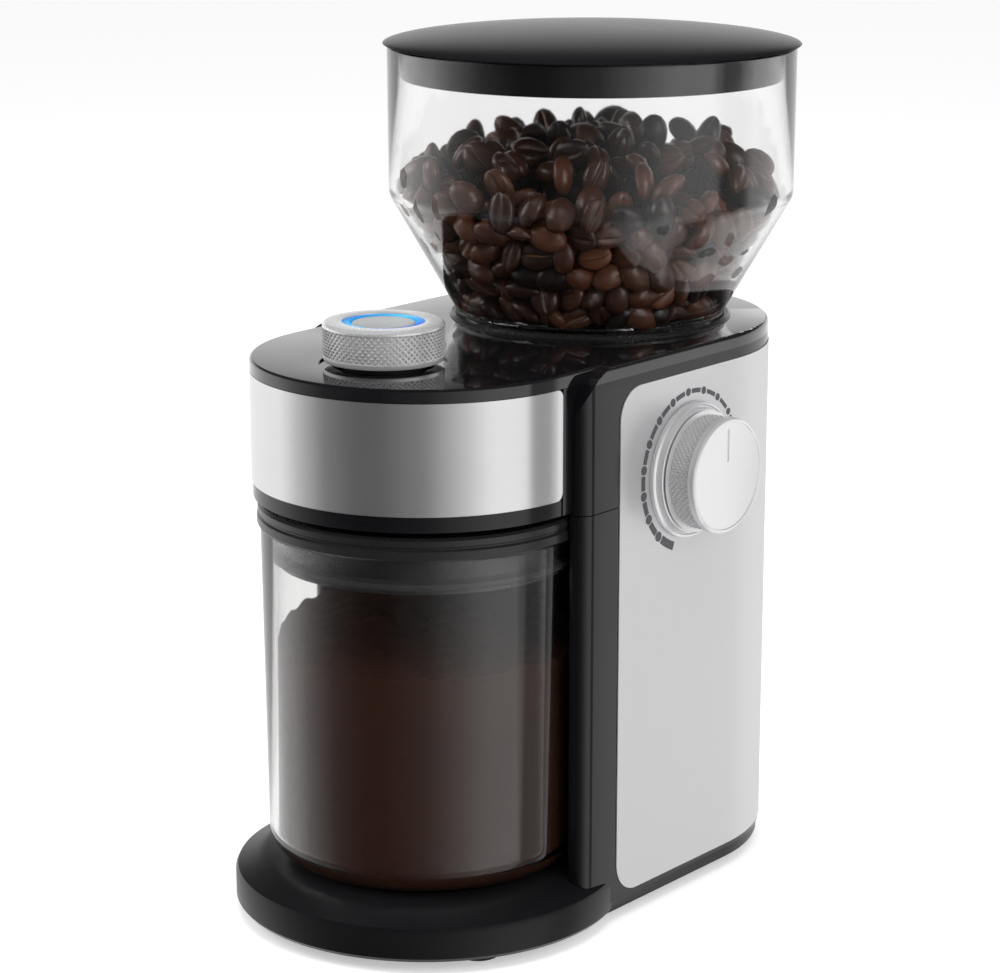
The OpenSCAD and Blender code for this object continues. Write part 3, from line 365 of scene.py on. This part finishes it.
bm = bmesh.new()
for k in range(dots):
    weight = 1 - k / (dots - 1)
    angle = first_dot - k * dot_step
    dot_r = 0.85 + 0.75 * weight
    centre = on_scale(angle, scale_r)
    flat_patch(bm, [(centre[0] + dot_r * math.cos(t * math.tau / round_corners),
                     centre[1] + dot_r * math.sin(t * math.tau / round_corners))
                    for t in range(round_corners)])
    if k < dots - 1:
        half = 0.34 + 0.72 * weight
        a0 = angle - dash_gap
        a1 = angle - dot_step + dash_gap
        arc = [a0 + (a1 - a0) * t / arc_steps for t in range(arc_steps + 1)]
        flat_patch(bm, [on_scale(a, scale_r - half) for a in arc]
                   + [on_scale(a, scale_r + half) for a in reversed(arc)])
arc = [bar_start + bar_sweep * t / arc_steps for t in range(arc_steps + 1)]
flat_patch(bm, [on_scale(a, bar_in) for a in arc]
           + [on_scale(a, bar_out) for a in reversed(arc)])
bmesh.ops.recalc_face_normals(bm, faces=bm.faces)
for face in bm.faces:
    if face.normal.x < 0:
        face.normal_flip()
scale_mesh = bpy.data.meshes.new("dial_scale")
bm.to_mesh(scale_mesh)
bm.free()
dial_scale = bpy.data.objects.new("dial_scale", scale_mesh)
bpy.context.scene.collection.objects.link(dial_scale)
scale_ink = surface("scale_ink", (0.075, 0.075, 0.08), 0.5, scale=2500, tint=0.12, bump=0.0)
scale_mesh.materials.append(scale_ink)
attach(dial_scale, "housing")


# ---- Dial bezel ----
# A stepped ring of satin aluminium round the dial shaft.

def turned(name, profile, centre, material, axis="Z", steps=128, angle=32, closed=True):
    """A turned piece: the profile, (radius, height) in millimetres, spun round its axis."""
    deselect()
    mesh = bpy.data.meshes.new(name)
    c = Vector(centre) * MM
    if axis == "Z":
        points = [(c.x + r * MM, c.y, h * MM) for r, h in profile]
        spin_axis = (0, 0, 1)
    else:
        points = [(h * MM, c.y + r * MM, c.z) for r, h in profile]
        spin_axis = (1, 0, 0)
    edges = [(i, i + 1) for i in range(len(points) - 1)]
    if closed:
        edges.append((len(points) - 1, 0))
    mesh.from_pydata(points, edges, [])
    piece = bpy.data.objects.new(name, mesh)
    bpy.context.scene.collection.objects.link(piece)
    bpy.context.view_layer.objects.active = piece
    piece.select_set(True)
    bpy.ops.object.mode_set(mode="EDIT")
    bpy.ops.mesh.select_all(action="SELECT")
    bpy.ops.mesh.spin(steps=steps, angle=math.tau, center=c, axis=spin_axis)
    bpy.ops.mesh.select_all(action="SELECT")
    bpy.ops.mesh.remove_doubles(threshold=0.0000005)
    bpy.ops.mesh.dissolve_degenerate(threshold=0.0000005)
    bpy.ops.mesh.select_all(action="SELECT")
    bpy.ops.mesh.normals_make_consistent(inside=False)
    bpy.ops.object.mode_set(mode="OBJECT")
    bpy.ops.object.shade_smooth_by_angle(angle=math.radians(angle))
    mesh.materials.append(material)
    return piece


def rounded(points, radius, segments=3):
    """Rounds the corners of an open or closed profile by short arcs."""
    out = []
    n = len(points)
    for i, p in enumerate(points):
        a = Vector(points[i - 1]) - Vector(p)
        b = Vector(points[(i + 1) % n]) - Vector(p)
        r = radius[i] if isinstance(radius, (list, tuple)) else radius
        if r <= 0 or p[0] < 0.001 or a.length < 1e-6 or b.length < 1e-6:
            out.append(tuple(p))
            continue
        cut = min(r, a.length * 0.45, b.length * 0.45)
        start = Vector(p) + a.normalized() * cut
        end = Vector(p) + b.normalized() * cut
        for k in range(segments + 1):
            t = k / segments
            q = start.lerp(Vector(p), t).lerp(Vector(p).lerp(end, t), t)
            out.append((q.x, q.y))
    return out


dial_centre = (0, dial_y, dial_z)
satin_aluminium = surface("satin_aluminium", (0.80, 0.80, 0.81), 0.26, metallic=0.6,
                          scale=1200, tint=0.05, rough_spread=0.05, bump=0.04)
bezel = turned("dial_bezel_ring", rounded([
    (3.06, 54.9), (7.7, 54.9), (7.7, 57.45), (21.2, 57.45), (21.2, 58.6), (20.3, 59.2),
    (20.0, 58.5), (19.5, 58.5), (19.3, 60.6), (18.8, 60.85), (16, 60.85), (15.4, 59.5),
    (3.06, 59.5)], 0.22), dial_centre, satin_aluminium, axis="X")
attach(bezel, "housing")
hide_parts("dial_bezel")


# ---- Grind dial ----
# A turned aluminium knob: a diamond-knurled grip, a smooth collar, and a satin face
# with a pointer groove at the top.

def knurled_grip(name, centre, axis, crest, depth, h0, h1, columns, rows, material):
    """A ring of small pyramids, as a knurling wheel rolls them."""
    bm = bmesh.new()
    c = Vector(centre) * MM
    rings = []
    for j in range(rows + 1):
        h = (h0 + (h1 - h0) * j / rows) * MM
        ring = []
        for i in range(columns * 2):
            a = i * math.pi / columns
            r = (crest if (i + j) % 2 == 0 else crest - depth) * MM
            if axis == "Z":
                ring.append(bm.verts.new((c.x + r * math.cos(a), c.y + r * math.sin(a), h)))
            else:
                ring.append(bm.verts.new((h, c.y + r * math.cos(a), c.z + r * math.sin(a))))
        rings.append(ring)
    for j in range(rows):
        for i in range(columns * 2):
            k = (i + 1) % (columns * 2)
            a, b = rings[j][i], rings[j][k]
            d, e = rings[j + 1][i], rings[j + 1][k]
            if (i + j) % 2 == 0:
                bm.faces.new((a, b, d))
                bm.faces.new((b, e, d))
            else:
                bm.faces.new((a, b, e))
                bm.faces.new((a, e, d))
    mesh = bpy.data.meshes.new(name)
    bm.to_mesh(mesh)
    bm.free()
    grip = bpy.data.objects.new(name, mesh)
    bpy.context.scene.collection.objects.link(grip)
    mesh.materials.append(material)
    return grip


def joined(name, *parts):
    """Several meshes as one piece."""
    deselect()
    for part in parts:
        part.select_set(True)
    bpy.context.view_layer.objects.active = parts[0]
    bpy.ops.object.join()
    parts[0].name = name
    return parts[0]


dial_body = turned("dial_body", rounded([
    (3.2, 61.5), (18.9, 61.5), (18.9, 61.8), (17.2, 62.0), (17.2, 68.7), (17.9, 68.9),
    (17.9, 70.9), (17.2, 71.5), (16.8, 71.5), (16.6, 71.25), (0, 71.25), (0, 62.5),
    (3.2, 62.5)], [0.1, 0.2, 0.1, 0.05, 0.05, 0.2, 0.25, 0.2, 0.1, 0.1, 0, 0, 0.1]),
    dial_centre, satin_aluminium, axis="X")
dial_grip = knurled_grip("dial_grip", dial_centre, "X", 17.75, 0.62, 61.9, 68.75, 62, 8,
                         satin_aluminium)
dial = joined("grind_dial", dial_body, dial_grip)
groove_middle = (71.4, dial_y, dial_z + 9.45)
groove_size = (1.0, 1.1, 10.3)
deselect()
bpy.ops.mesh.primitive_cube_add(size=1, location=[v * MM for v in groove_middle])
groove_cutter = bpy.context.object
groove_cutter.scale = [v * MM for v in groove_size]
bpy.ops.object.transform_apply(location=True, rotation=True, scale=True)
round_ends = groove_cutter.modifiers.new("round_ends", "BEVEL")
round_ends.width = 0.5 * MM
round_ends.segments = 4
deselect()
dial.select_set(True)
bpy.context.view_layer.objects.active = dial
cut = dial.modifiers.new("pointer_groove", "BOOLEAN")
cut.object = groove_cutter
cut.operation = "DIFFERENCE"
cut.solver = "EXACT"
bpy.ops.object.modifier_apply(modifier=cut.name)
bpy.data.objects.remove(groove_cutter)
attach(dial, "dial")
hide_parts("grind_dial_knob")

# ---- Cup selector ----
# A knurled aluminium ring that turns round the lit start button.
selector_centre = (0, -100, 0)
selector_body = turned("selector_body", rounded([
    (12.35, 176.4), (17.9, 176.4), (18.1, 177.9), (17.7, 178.05), (17.7, 186.3),
    (18.2, 186.45), (18.2, 187.2), (17.5, 187.95), (12.35, 187.95)],
    [0.1, 0.3, 0.1, 0.05, 0.05, 0.1, 0.25, 0.3, 0.2]), selector_centre, satin_aluminium)
selector_grip = knurled_grip("selector_grip", selector_centre, "Z", 18.25, 0.65, 177.95, 186.4,
                             60, 9, satin_aluminium)
selector = joined("cup_selector", selector_body, selector_grip)
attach(selector, "selector")
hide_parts("cup_selector_knob")

# ---- Light ring and start button ----
# A frosted ring lit from below, cyan on one side and blue on the other, round the
# satin grey start button.
ring_glow = bpy.data.materials.new("ring_glow")
ring_glow.use_nodes = True
tree = ring_glow.node_tree
shader = tree.nodes["Principled BSDF"]
coord = tree.nodes.new("ShaderNodeTexCoord")
split = tree.nodes.new("ShaderNodeSeparateXYZ")
tree.links.new(coord.outputs["Object"], split.inputs[0])
across = tree.nodes.new("ShaderNodeMapRange")
across.inputs["From Min"].default_value = -0.012
across.inputs["From Max"].default_value = 0.012
tree.links.new(split.outputs["X"], across.inputs["Value"])
colours = tree.nodes.new("ShaderNodeValToRGB")
colours.color_ramp.elements[0].color = (0.006, 0.19, 0.58, 1)
colours.color_ramp.elements[1].color = (0.003, 0.06, 0.62, 1)
middle = colours.color_ramp.elements.new(0.45)
middle.color = (0.10, 0.55, 0.80, 1)
tree.links.new(across.outputs["Result"], colours.inputs["Fac"])
shade = tree.nodes.new("ShaderNodeMix")
shade.data_type = "RGBA"
shade.inputs[0].default_value = 0.85
shade.inputs[7].default_value = (0.0, 0.02, 0.06, 1)
tree.links.new(colours.outputs["Color"], shade.inputs[6])
tree.links.new(shade.outputs[2], shader.inputs["Base Color"])
tree.links.new(colours.outputs["Color"], shader.inputs["Emission Color"])
shader.inputs["Emission Strength"].default_value = 1.0
shader.inputs["Specular IOR Level"].default_value = 0.2
shader.inputs["Roughness"].default_value = 0.35
light_ring = turned("lit_ring", rounded([
    (10.15, 183.2), (11.2, 183.2), (11.2, 185.1), (12.2, 185.1), (12.2, 187.6), (10.15, 187.6)],
    0.2), selector_centre, ring_glow)
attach(light_ring, "housing")
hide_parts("light_ring")
button_grey = surface("button_satin", (0.58, 0.60, 0.61), 0.32, metallic=0.55, scale=1600,
                      tint=0.03, bump=0.03)
button = turned("start_button_cap", rounded([
    (0, 182.6), (8.1, 182.6), (8.1, 180.5), (10.0, 180.5), (10.0, 181.5), (9.7, 182.7),
    (9.7, 187.0), (9.2, 187.5), (0, 187.45)], [0, 0.1, 0.1, 0.1, 0.1, 0.1, 0.2, 0.3, 0]),
    selector_centre, button_grey)
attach(button, "button")
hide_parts("start_button")

# ---- Hopper collar ----
# The black ring in the deck that the hopper locks into.
collar_black = surface("collar_satin_black", (0.012, 0.012, 0.013), 0.28, scale=900, bump=0.08)
smoothed_copy("hopper_collar", "collar_ring", collar_black, "housing")


# ---- Hopper ----
# A clear moulded funnel with a thin wall, a cone below and a straight part above.

def clear_plastic(name, tint, roughness=0.03):
    """Clear moulded plastic that lets the lamps through to what it holds."""
    material = bpy.data.materials.new(name)
    material.use_nodes = True
    tree = material.node_tree
    out = tree.nodes["Material Output"]
    shader = tree.nodes["Principled BSDF"]
    shader.inputs["Base Color"].default_value = (*tint, 1)
    shader.inputs["Transmission Weight"].default_value = 1.0
    shader.inputs["IOR"].default_value = 1.49
    coord = tree.nodes.new("ShaderNodeTexCoord")
    smear = tree.nodes.new("ShaderNodeTexNoise")
    smear.inputs["Scale"].default_value = 14
    tree.links.new(coord.outputs["Object"], smear.inputs["Vector"])
    spread = tree.nodes.new("ShaderNodeMapRange")
    spread.inputs["To Min"].default_value = max(0.0, roughness - 0.02)
    spread.inputs["To Max"].default_value = roughness + 0.03
    tree.links.new(smear.outputs["Fac"], spread.inputs["Value"])
    tree.links.new(spread.outputs["Result"], shader.inputs["Roughness"])
    path = tree.nodes.new("ShaderNodeLightPath")
    either = tree.nodes.new("ShaderNodeMath")
    either.operation = "MAXIMUM"
    tree.links.new(path.outputs["Is Shadow Ray"], either.inputs[0])
    tree.links.new(path.outputs["Is Diffuse Ray"], either.inputs[1])
    through = tree.nodes.new("ShaderNodeBsdfTransparent")
    through.inputs["Color"].default_value = (*[0.97 * c for c in tint], 1)
    mix = tree.nodes.new("ShaderNodeMixShader")
    tree.links.new(either.outputs[0], mix.inputs["Fac"])
    tree.links.new(shader.outputs[0], mix.inputs[1])
    tree.links.new(through.outputs[0], mix.inputs[2])
    tree.links.new(mix.outputs[0], out.inputs["Surface"])
    return material


hopper_clear = clear_plastic("hopper_clear", (0.985, 0.985, 0.985))
hopper = turned("clear_hopper", rounded([
    (39.4, 163.6), (39.4, 176.75), (43.15, 176.75), (43.15, 178.0), (64.15, 214.6),
    (64.45, 261.05), (62.5, 261.05), (62.2, 215.4), (41.2, 179.2), (37.6, 175.4),
    (37.6, 169.0), (14.1, 166.0), (14.1, 163.6)],
    [0.3, 0.3, 0.3, 0.6, 1.4, 0.5, 0.5, 1.4, 0.8, 0.4, 0.8, 0.4, 0.3], 4),
    (0, 0, 0), hopper_clear, steps=160)
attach(hopper, "hopper")
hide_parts("hopper")

# ---- Coffee beans ----
# Roasted beans poured into the hopper. Each is an egg-shaped half with a slit along its
# flat side. They are packed by letting balls of their size settle in the funnel.
bean_half = (6.3, 4.7, 3.7)
ball_r = 4.45
bean_count = 800
settle_steps = 260
fast_steps = 180
fast_drop = 0.8
slow_drop = 0.1
pushes = 8
bean_floor = 177.5
rng = np.random.default_rng(7)
spread_a = rng.uniform(0, math.tau, bean_count)
spread_r = 55 * np.sqrt(rng.uniform(0, 1, bean_count))
balls = np.stack([spread_r * np.cos(spread_a), spread_r * np.sin(spread_a),
                  rng.uniform(190, 330, bean_count)], 1)


def funnel_radius(z):
    """Inner radius of the hopper at a height, in millimetres."""
    neck, neck_top = 41.2, 179.2
    wide, cone_top = 62.2, 215.4
    return np.clip(neck + (z - neck_top) * (wide - neck) / (cone_top - neck_top), 36, wide)


for step in range(settle_steps):
    balls[:, 2] -= fast_drop if step < fast_steps else slow_drop
    if step % 5 == 0:
        gap = balls[:, None, :] - balls[None, :, :]
        near = (gap ** 2).sum(2) < (2 * ball_r + 4) ** 2
        pairs = np.argwhere(np.triu(near, 1))
    for push in range(pushes):
        i, j = pairs[:, 0], pairs[:, 1]
        d = balls[i] - balls[j]
        dist = np.sqrt((d ** 2).sum(1)) + 1e-9
        move = np.clip(2 * ball_r - dist, 0, None)[:, None] * d / dist[:, None] * 0.4
        np.add.at(balls, i, move)
        np.add.at(balls, j, -move)
        wall = funnel_radius(balls[:, 2]) - ball_r
        out_r = np.hypot(balls[:, 0], balls[:, 1]) + 1e-9
        shrink = np.minimum(1, wall / out_r)
        balls[:, 0] *= shrink
        balls[:, 1] *= shrink
        balls[:, 2] = np.maximum(balls[:, 2], bean_floor + ball_r)


def bean_shape(long_steps=8):
    """Corners, faces and crease depth of one bean, lying along X with its slit side down."""
    round_way = [0, 45, 90, 135, 180, 222, 252, 264, 270, 276, 288, 318]
    slit = {264: 0.25, 270: 1.0, 276: 0.25}
    points, crease, quads = [], [], []
    for j in range(long_steps + 1):
        t = math.pi * j / long_steps
        for degrees in round_way:
            a = math.radians(degrees)
            x = -math.cos(t)
            y = math.sin(t) * math.cos(a)
            z = math.sin(t) * math.sin(a)
            dip = slit.get(degrees, 0.0) * (1 - abs(x) ** 6)
            if z < 0:
                z = 0.55 * z + 0.42 * dip * math.sin(t)
            if degrees in (264, 270, 276):
                y += 0.10 * math.sin(3 * x) * math.sin(t)
            points.append((x * bean_half[0], y * bean_half[1] * (1 - 0.06 * x),
                           z * bean_half[2] + 0.4))
            crease.append(dip)
    count = len(round_way)
    for j in range(long_steps):
        for i in range(count):
            k = (i + 1) % count
            quads.append((j * count + i, j * count + k, (j + 1) * count + k,
                          (j + 1) * count + i))
    return np.array(points), np.array(crease), quads


bean_points, bean_crease, bean_quads = bean_shape()


def scattered_beans(name, places, turns, sizes, shades, material):
    """One mesh of many beans, with the crease and the roast of each as attributes."""
    count = len(bean_points)
    points, quads = [], []
    for n, (place, turn, size) in enumerate(zip(places, turns, sizes)):
        points.append((bean_points * size) @ np.array(turn).T + place)
        quads.extend([tuple(v + n * count for v in q) for q in bean_quads])
    mesh = bpy.data.meshes.new(name)
    mesh.from_pydata((np.concatenate(points) * MM).tolist(), [], quads)
    mesh.attributes.new("crease", "FLOAT", "POINT").data.foreach_set(
        "value", np.tile(bean_crease, len(places)).astype(np.float32))
    mesh.attributes.new("roast", "FLOAT", "POINT").data.foreach_set(
        "value", np.repeat(shades, count).astype(np.float32))
    beans = bpy.data.objects.new(name, mesh)
    bpy.context.scene.collection.objects.link(beans)
    deselect()
    beans.select_set(True)
    bpy.context.view_layer.objects.active = beans
    bpy.ops.object.mode_set(mode="EDIT")
    bpy.ops.mesh.select_all(action="SELECT")
    bpy.ops.mesh.remove_doubles(threshold=0.00002)
    bpy.ops.mesh.normals_make_consistent(inside=False)
    bpy.ops.object.mode_set(mode="OBJECT")
    bpy.ops.object.shade_smooth()
    mesh.materials.append(material)
    return beans


roasted = bpy.data.materials.new("roasted_bean")
roasted.use_nodes = True
tree = roasted.node_tree
shader = tree.nodes["Principled BSDF"]
roast = tree.nodes.new("ShaderNodeAttribute")
roast.attribute_name = "roast"
browns = tree.nodes.new("ShaderNodeValToRGB")
browns.color_ramp.elements[0].color = (0.008, 0.0035, 0.0025, 1)
browns.color_ramp.elements[1].color = (0.115, 0.040, 0.018, 1)
tree.links.new(roast.outputs["Fac"], browns.inputs["Fac"])
fold = tree.nodes.new("ShaderNodeAttribute")
fold.attribute_name = "crease"
skin = tree.nodes.new("ShaderNodeMix")
skin.data_type = "RGBA"
skin.inputs[7].default_value = (0.26, 0.13, 0.06, 1)
thin = tree.nodes.new("ShaderNodeMapRange")
thin.inputs["From Min"].default_value = 0.3
thin.inputs["From Max"].default_value = 1.0
thin.inputs["To Max"].default_value = 0.75
tree.links.new(fold.outputs["Fac"], thin.inputs["Value"])
tree.links.new(thin.outputs["Result"], skin.inputs[0])
tree.links.new(browns.outputs["Color"], skin.inputs[6])
coord = tree.nodes.new("ShaderNodeTexCoord")
mottle = tree.nodes.new("ShaderNodeTexNoise")
mottle.inputs["Scale"].default_value = 420
mottle.inputs["Detail"].default_value = 5
tree.links.new(coord.outputs["Object"], mottle.inputs["Vector"])
patchy = tree.nodes.new("ShaderNodeMix")
patchy.data_type = "RGBA"
patchy.blend_type = "MULTIPLY"
patchy.inputs[0].default_value = 0.45
tree.links.new(skin.outputs[2], patchy.inputs[6])
tree.links.new(mottle.outputs["Color"], patchy.inputs[7])
tree.links.new(patchy.outputs[2], shader.inputs["Base Color"])
oily = tree.nodes.new("ShaderNodeMapRange")
oily.inputs["To Min"].default_value = 0.22
oily.inputs["To Max"].default_value = 0.48
tree.links.new(mottle.outputs["Fac"], oily.inputs["Value"])
tree.links.new(oily.outputs["Result"], shader.inputs["Roughness"])
pits = tree.nodes.new("ShaderNodeBump")
pits.inputs["Strength"].default_value = 0.35
pits.inputs["Distance"].default_value = 0.0003
tree.links.new(mottle.outputs["Fac"], pits.inputs["Height"])
tree.links.new(pits.outputs["Normal"], shader.inputs["Normal"])

# Only the beans near the wall and the top can be seen, so the rest are left out.
shell_depth = 17
top_layer = 222
out_r = np.hypot(balls[:, 0], balls[:, 1])
depth_in = funnel_radius(balls[:, 2]) - out_r
balls = balls[(depth_in < shell_depth) | (balls[:, 2] > top_layer)]
cone_end = 215
turns = []
for place in balls:
    outward = Vector((place[0], place[1], 0)).normalized()
    slope = 0.0 if place[2] > cone_end else -0.5
    wall_normal = (outward + Vector((0, 0, slope))).normalized()
    spin = Matrix.Rotation(rng.uniform(0, math.tau), 3, "Z")
    tip = Matrix.Rotation(rng.normal(0, 0.5), 3, "X") @ Matrix.Rotation(rng.normal(0, 0.4), 3, "Y")
    face = 1 if rng.uniform() < 0.5 else -1
    on_wall = np.hypot(place[0], place[1]) > funnel_radius(place[2]) - ball_r * 1.6
    if on_wall:
        base = (wall_normal * face).to_track_quat("Z", "Y").to_matrix()
    else:
        random_way = Vector(rng.normal(0, 1, 3)).normalized()
        base = random_way.to_track_quat("Z", "Y").to_matrix()
    turns.append(base @ spin @ tip if not on_wall else base @ tip @ spin)
sizes = rng.uniform(0.88, 1.08, len(balls))
shades = np.clip(rng.normal(0.42, 0.27, len(balls)), 0, 1)
half_way = len(balls) // 2
for name, part in (("beans_a", slice(0, half_way)), ("beans_b", slice(half_way, None))):
    beans = scattered_beans(name, balls[part], turns[part], sizes[part], shades[part], roasted)
    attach(beans, "hopper")

# ---- Hopper lid ----
# A black moulding with a low satin dome and a polished skirt that pushes into the hopper.
lid_satin = surface("lid_satin_black", (0.008, 0.008, 0.009), 0.20, scale=2200, bump=0.18,
                    rough_spread=0.05)
lid_satin.node_tree.nodes["Principled BSDF"].inputs["Specular IOR Level"].default_value = 0.02
lid_gloss = surface("lid_gloss_black", (0.005, 0.005, 0.006), 0.08, scale=300, bump=0.0)
lid_rim = 65.75
lid_edge_z = 261.45
dome_z = 261.8
dome_rise = 4.95
dome = [(lid_rim * math.cos(math.radians(a)),
         dome_z + dome_rise * math.sin(math.radians(a)) ** 1.25) for a in range(0, 91, 5)]
lid_top = turned("lid_top", [(59.7, 262.1), (59.7, lid_edge_z), (65.15, lid_edge_z)]
                 + dome + [(0, 265.3), (40, 264.3), (57, 262.3)], (0, 0, 0), lid_satin,
                 steps=160, angle=40)
lid_skirt = turned("lid_skirt", rounded([
    (59.7, 251.35), (61.35, 251.35), (61.85, 261.45), (59.7, 261.45)], 0.25),
    (0, 0, 0), lid_gloss, steps=160)
lid = joined("lid", lid_top, lid_skirt)
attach(lid, "lid")
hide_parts("hopper_lid")

# ---- Grounds bin ----
# A clear tumbler with a rounded foot, slightly wider at its mouth.
bin_clear = clear_plastic("bin_clear", (0.975, 0.972, 0.97))
bin_centre = (0, -82, 0)
bin_cup = turned("clear_bin", rounded([
    (0, 18.35), (43.0, 18.35), (48.75, 24.2), (49.95, 123.95), (47.8, 123.95), (46.6, 25.5),
    (41.8, 20.95), (0, 20.95)], [0, 3.5, 6, 0.6, 0.6, 5, 3, 0], 6), bin_centre, bin_clear,
    steps=160)
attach(bin_cup, "bin")
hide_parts("grounds_bin")

# ---- Ground coffee ----
# Medium ground coffee, nearly level, with small clumps on top.
grounds_brown = surface("ground_coffee", (0.022, 0.0070, 0.0030), 0.95, scale=1500, tint=0.6,
                        bump=0.9, bump_depth=0.0006)
grounds_brown.node_tree.nodes["Principled BSDF"].inputs["Specular IOR Level"].default_value = 0.15
heap_r = 46.2
heap_top = 90
heap_fall = 2.5
heap_rings = 24
heap = [(heap_r * k / heap_rings, heap_top - heap_fall * (k / heap_rings) ** 2.2)
        for k in range(heap_rings, -1, -1)]
grounds = turned("ground_coffee_heap", [(0, 21.3), (41.5, 21.3), (44.6, 22.6), (46.1, 26)]
                 + heap, bin_centre, grounds_brown, steps=144, angle=60)
deselect()
grounds.select_set(True)
bpy.context.view_layer.objects.active = grounds
clumps = bpy.data.textures.new("clumps", "CLOUDS")
clumps.noise_scale = 0.006
lumpy = grounds.modifiers.new("lumpy", "DISPLACE")
lumpy.texture = clumps
lumpy.texture_coords = "LOCAL"
lumpy.direction = "Z"
lumpy.strength = 0.0035
top_group = grounds.vertex_groups.new(name="top")
top_group.add([v.index for v in grounds.data.vertices if v.co.z > 0.08], 1.0, "REPLACE")
lumpy.vertex_group = "top"
bpy.ops.object.modifier_apply(modifier=lumpy.name)
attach(grounds, "bin")

# ---- Bin lid ----
# A black lid in two stepped rings, with a skirt inside the bin and a round inlet.
smoothed_copy("bin_lid", "bin_lid_cap", collar_black, "bin")
seal_rubber = surface("seal_rubber", (0.02, 0.02, 0.02), 0.7, scale=800, bump=0.1)
smoothed_copy("bin_seal", "bin_lid_seal", seal_rubber, "bin")

# ---- Rear cover and cable gland ----
# A slotted satin cover over the air way, and a rubber gland below it.
cover_satin = surface("cover_satin_black", (0.014, 0.014, 0.015), 0.42, scale=1400, bump=0.15)
smoothed_copy("rear_cover", "rear_air_cover", cover_satin, "housing")
smoothed_copy("cord_gland", "cable_gland", foot_rubber, "housing")

# ---- Works inside ----
# Motor, gears, burrs, switches and boards, each with its own metal or moulding.
moulded_black = surface("moulded_black", (0.02, 0.02, 0.022), 0.45, scale=1200, bump=0.1)
natural_acetal = surface("natural_acetal", (0.66, 0.63, 0.53), 0.35, scale=700, tint=0.04)
ground_steel = surface("ground_burr_steel", (0.42, 0.42, 0.43), 0.32, metallic=1.0, scale=800,
                       stretch=(8, 1, 1), tint=0.15)
turned_steel = surface("turned_steel", (0.6, 0.6, 0.62), 0.22, metallic=1.0, scale=400,
                       stretch=(1, 1, 20), tint=0.08)
zinc_plate = surface("zinc_plate", (0.42, 0.43, 0.45), 0.38, metallic=0.9, scale=300, tint=0.12)
dull_ferrite = surface("dull_ferrite", (0.06, 0.06, 0.065), 0.7, scale=900, tint=0.2)
laminated_core = surface("laminated_core", (0.28, 0.24, 0.21), 0.5, metallic=0.6, scale=80,
                         stretch=(1, 1, 30), tint=0.25)
copper_bars = surface("copper_bars", (0.62, 0.30, 0.16), 0.3, metallic=1.0, scale=500, tint=0.1)
brass_turned = surface("brass_turned", (0.66, 0.50, 0.22), 0.28, metallic=1.0, scale=500,
                       tint=0.08)
sintered_bronze = surface("sintered_bronze", (0.45, 0.31, 0.16), 0.5, metallic=0.9, scale=2000,
                          tint=0.2, bump=0.2)
brush_carbon = surface("brush_carbon", (0.03, 0.03, 0.03), 0.6, scale=1500, tint=0.2)
board_mask = surface("board_solder_mask", (0.02, 0.16, 0.07), 0.32, scale=500, tint=0.15)
cast_alloy = surface("cast_alloy", (0.07, 0.07, 0.075), 0.5, metallic=0.5, scale=900, tint=0.15)
inner_finish = {
    moulded_black: ["selector_post", "button_switch", "selector_encoder", "rack_guide",
                    "upper_burr_carrier", "cooling_fan", "gearbox_base", "gearbox_cover",
                    "grinding_chamber", "grounds_chute", "hopper_switch", "bin_switch"],
    natural_acetal: ["adjust_rack", "adjusting_ring", "output_gear", "intermediate_gear"],
    ground_steel: ["upper_burr", "lower_burr", "spindle_nut"],
    turned_steel: ["button_spring", "dial_shaft", "dial_detent", "burr_spindle",
                   "intermediate_axle", "motor_shaft"],
    zinc_plate: ["motor_can", "motor_end_bell", "base_screws", "gearbox_screws", "burr_screws"],
    dull_ferrite: ["motor_magnets"],
    laminated_core: ["rotor_core"],
    copper_bars: ["commutator"],
    brass_turned: ["motor_pinion"],
    sintered_bronze: ["spindle_bearings"],
    brush_carbon: ["carbon_brushes"],
    board_mask: ["display_board", "control_board"],
    cast_alloy: ["burr_impeller"],
}
for material, names in inner_finish.items():
    for node in names:
        paint(node, material)
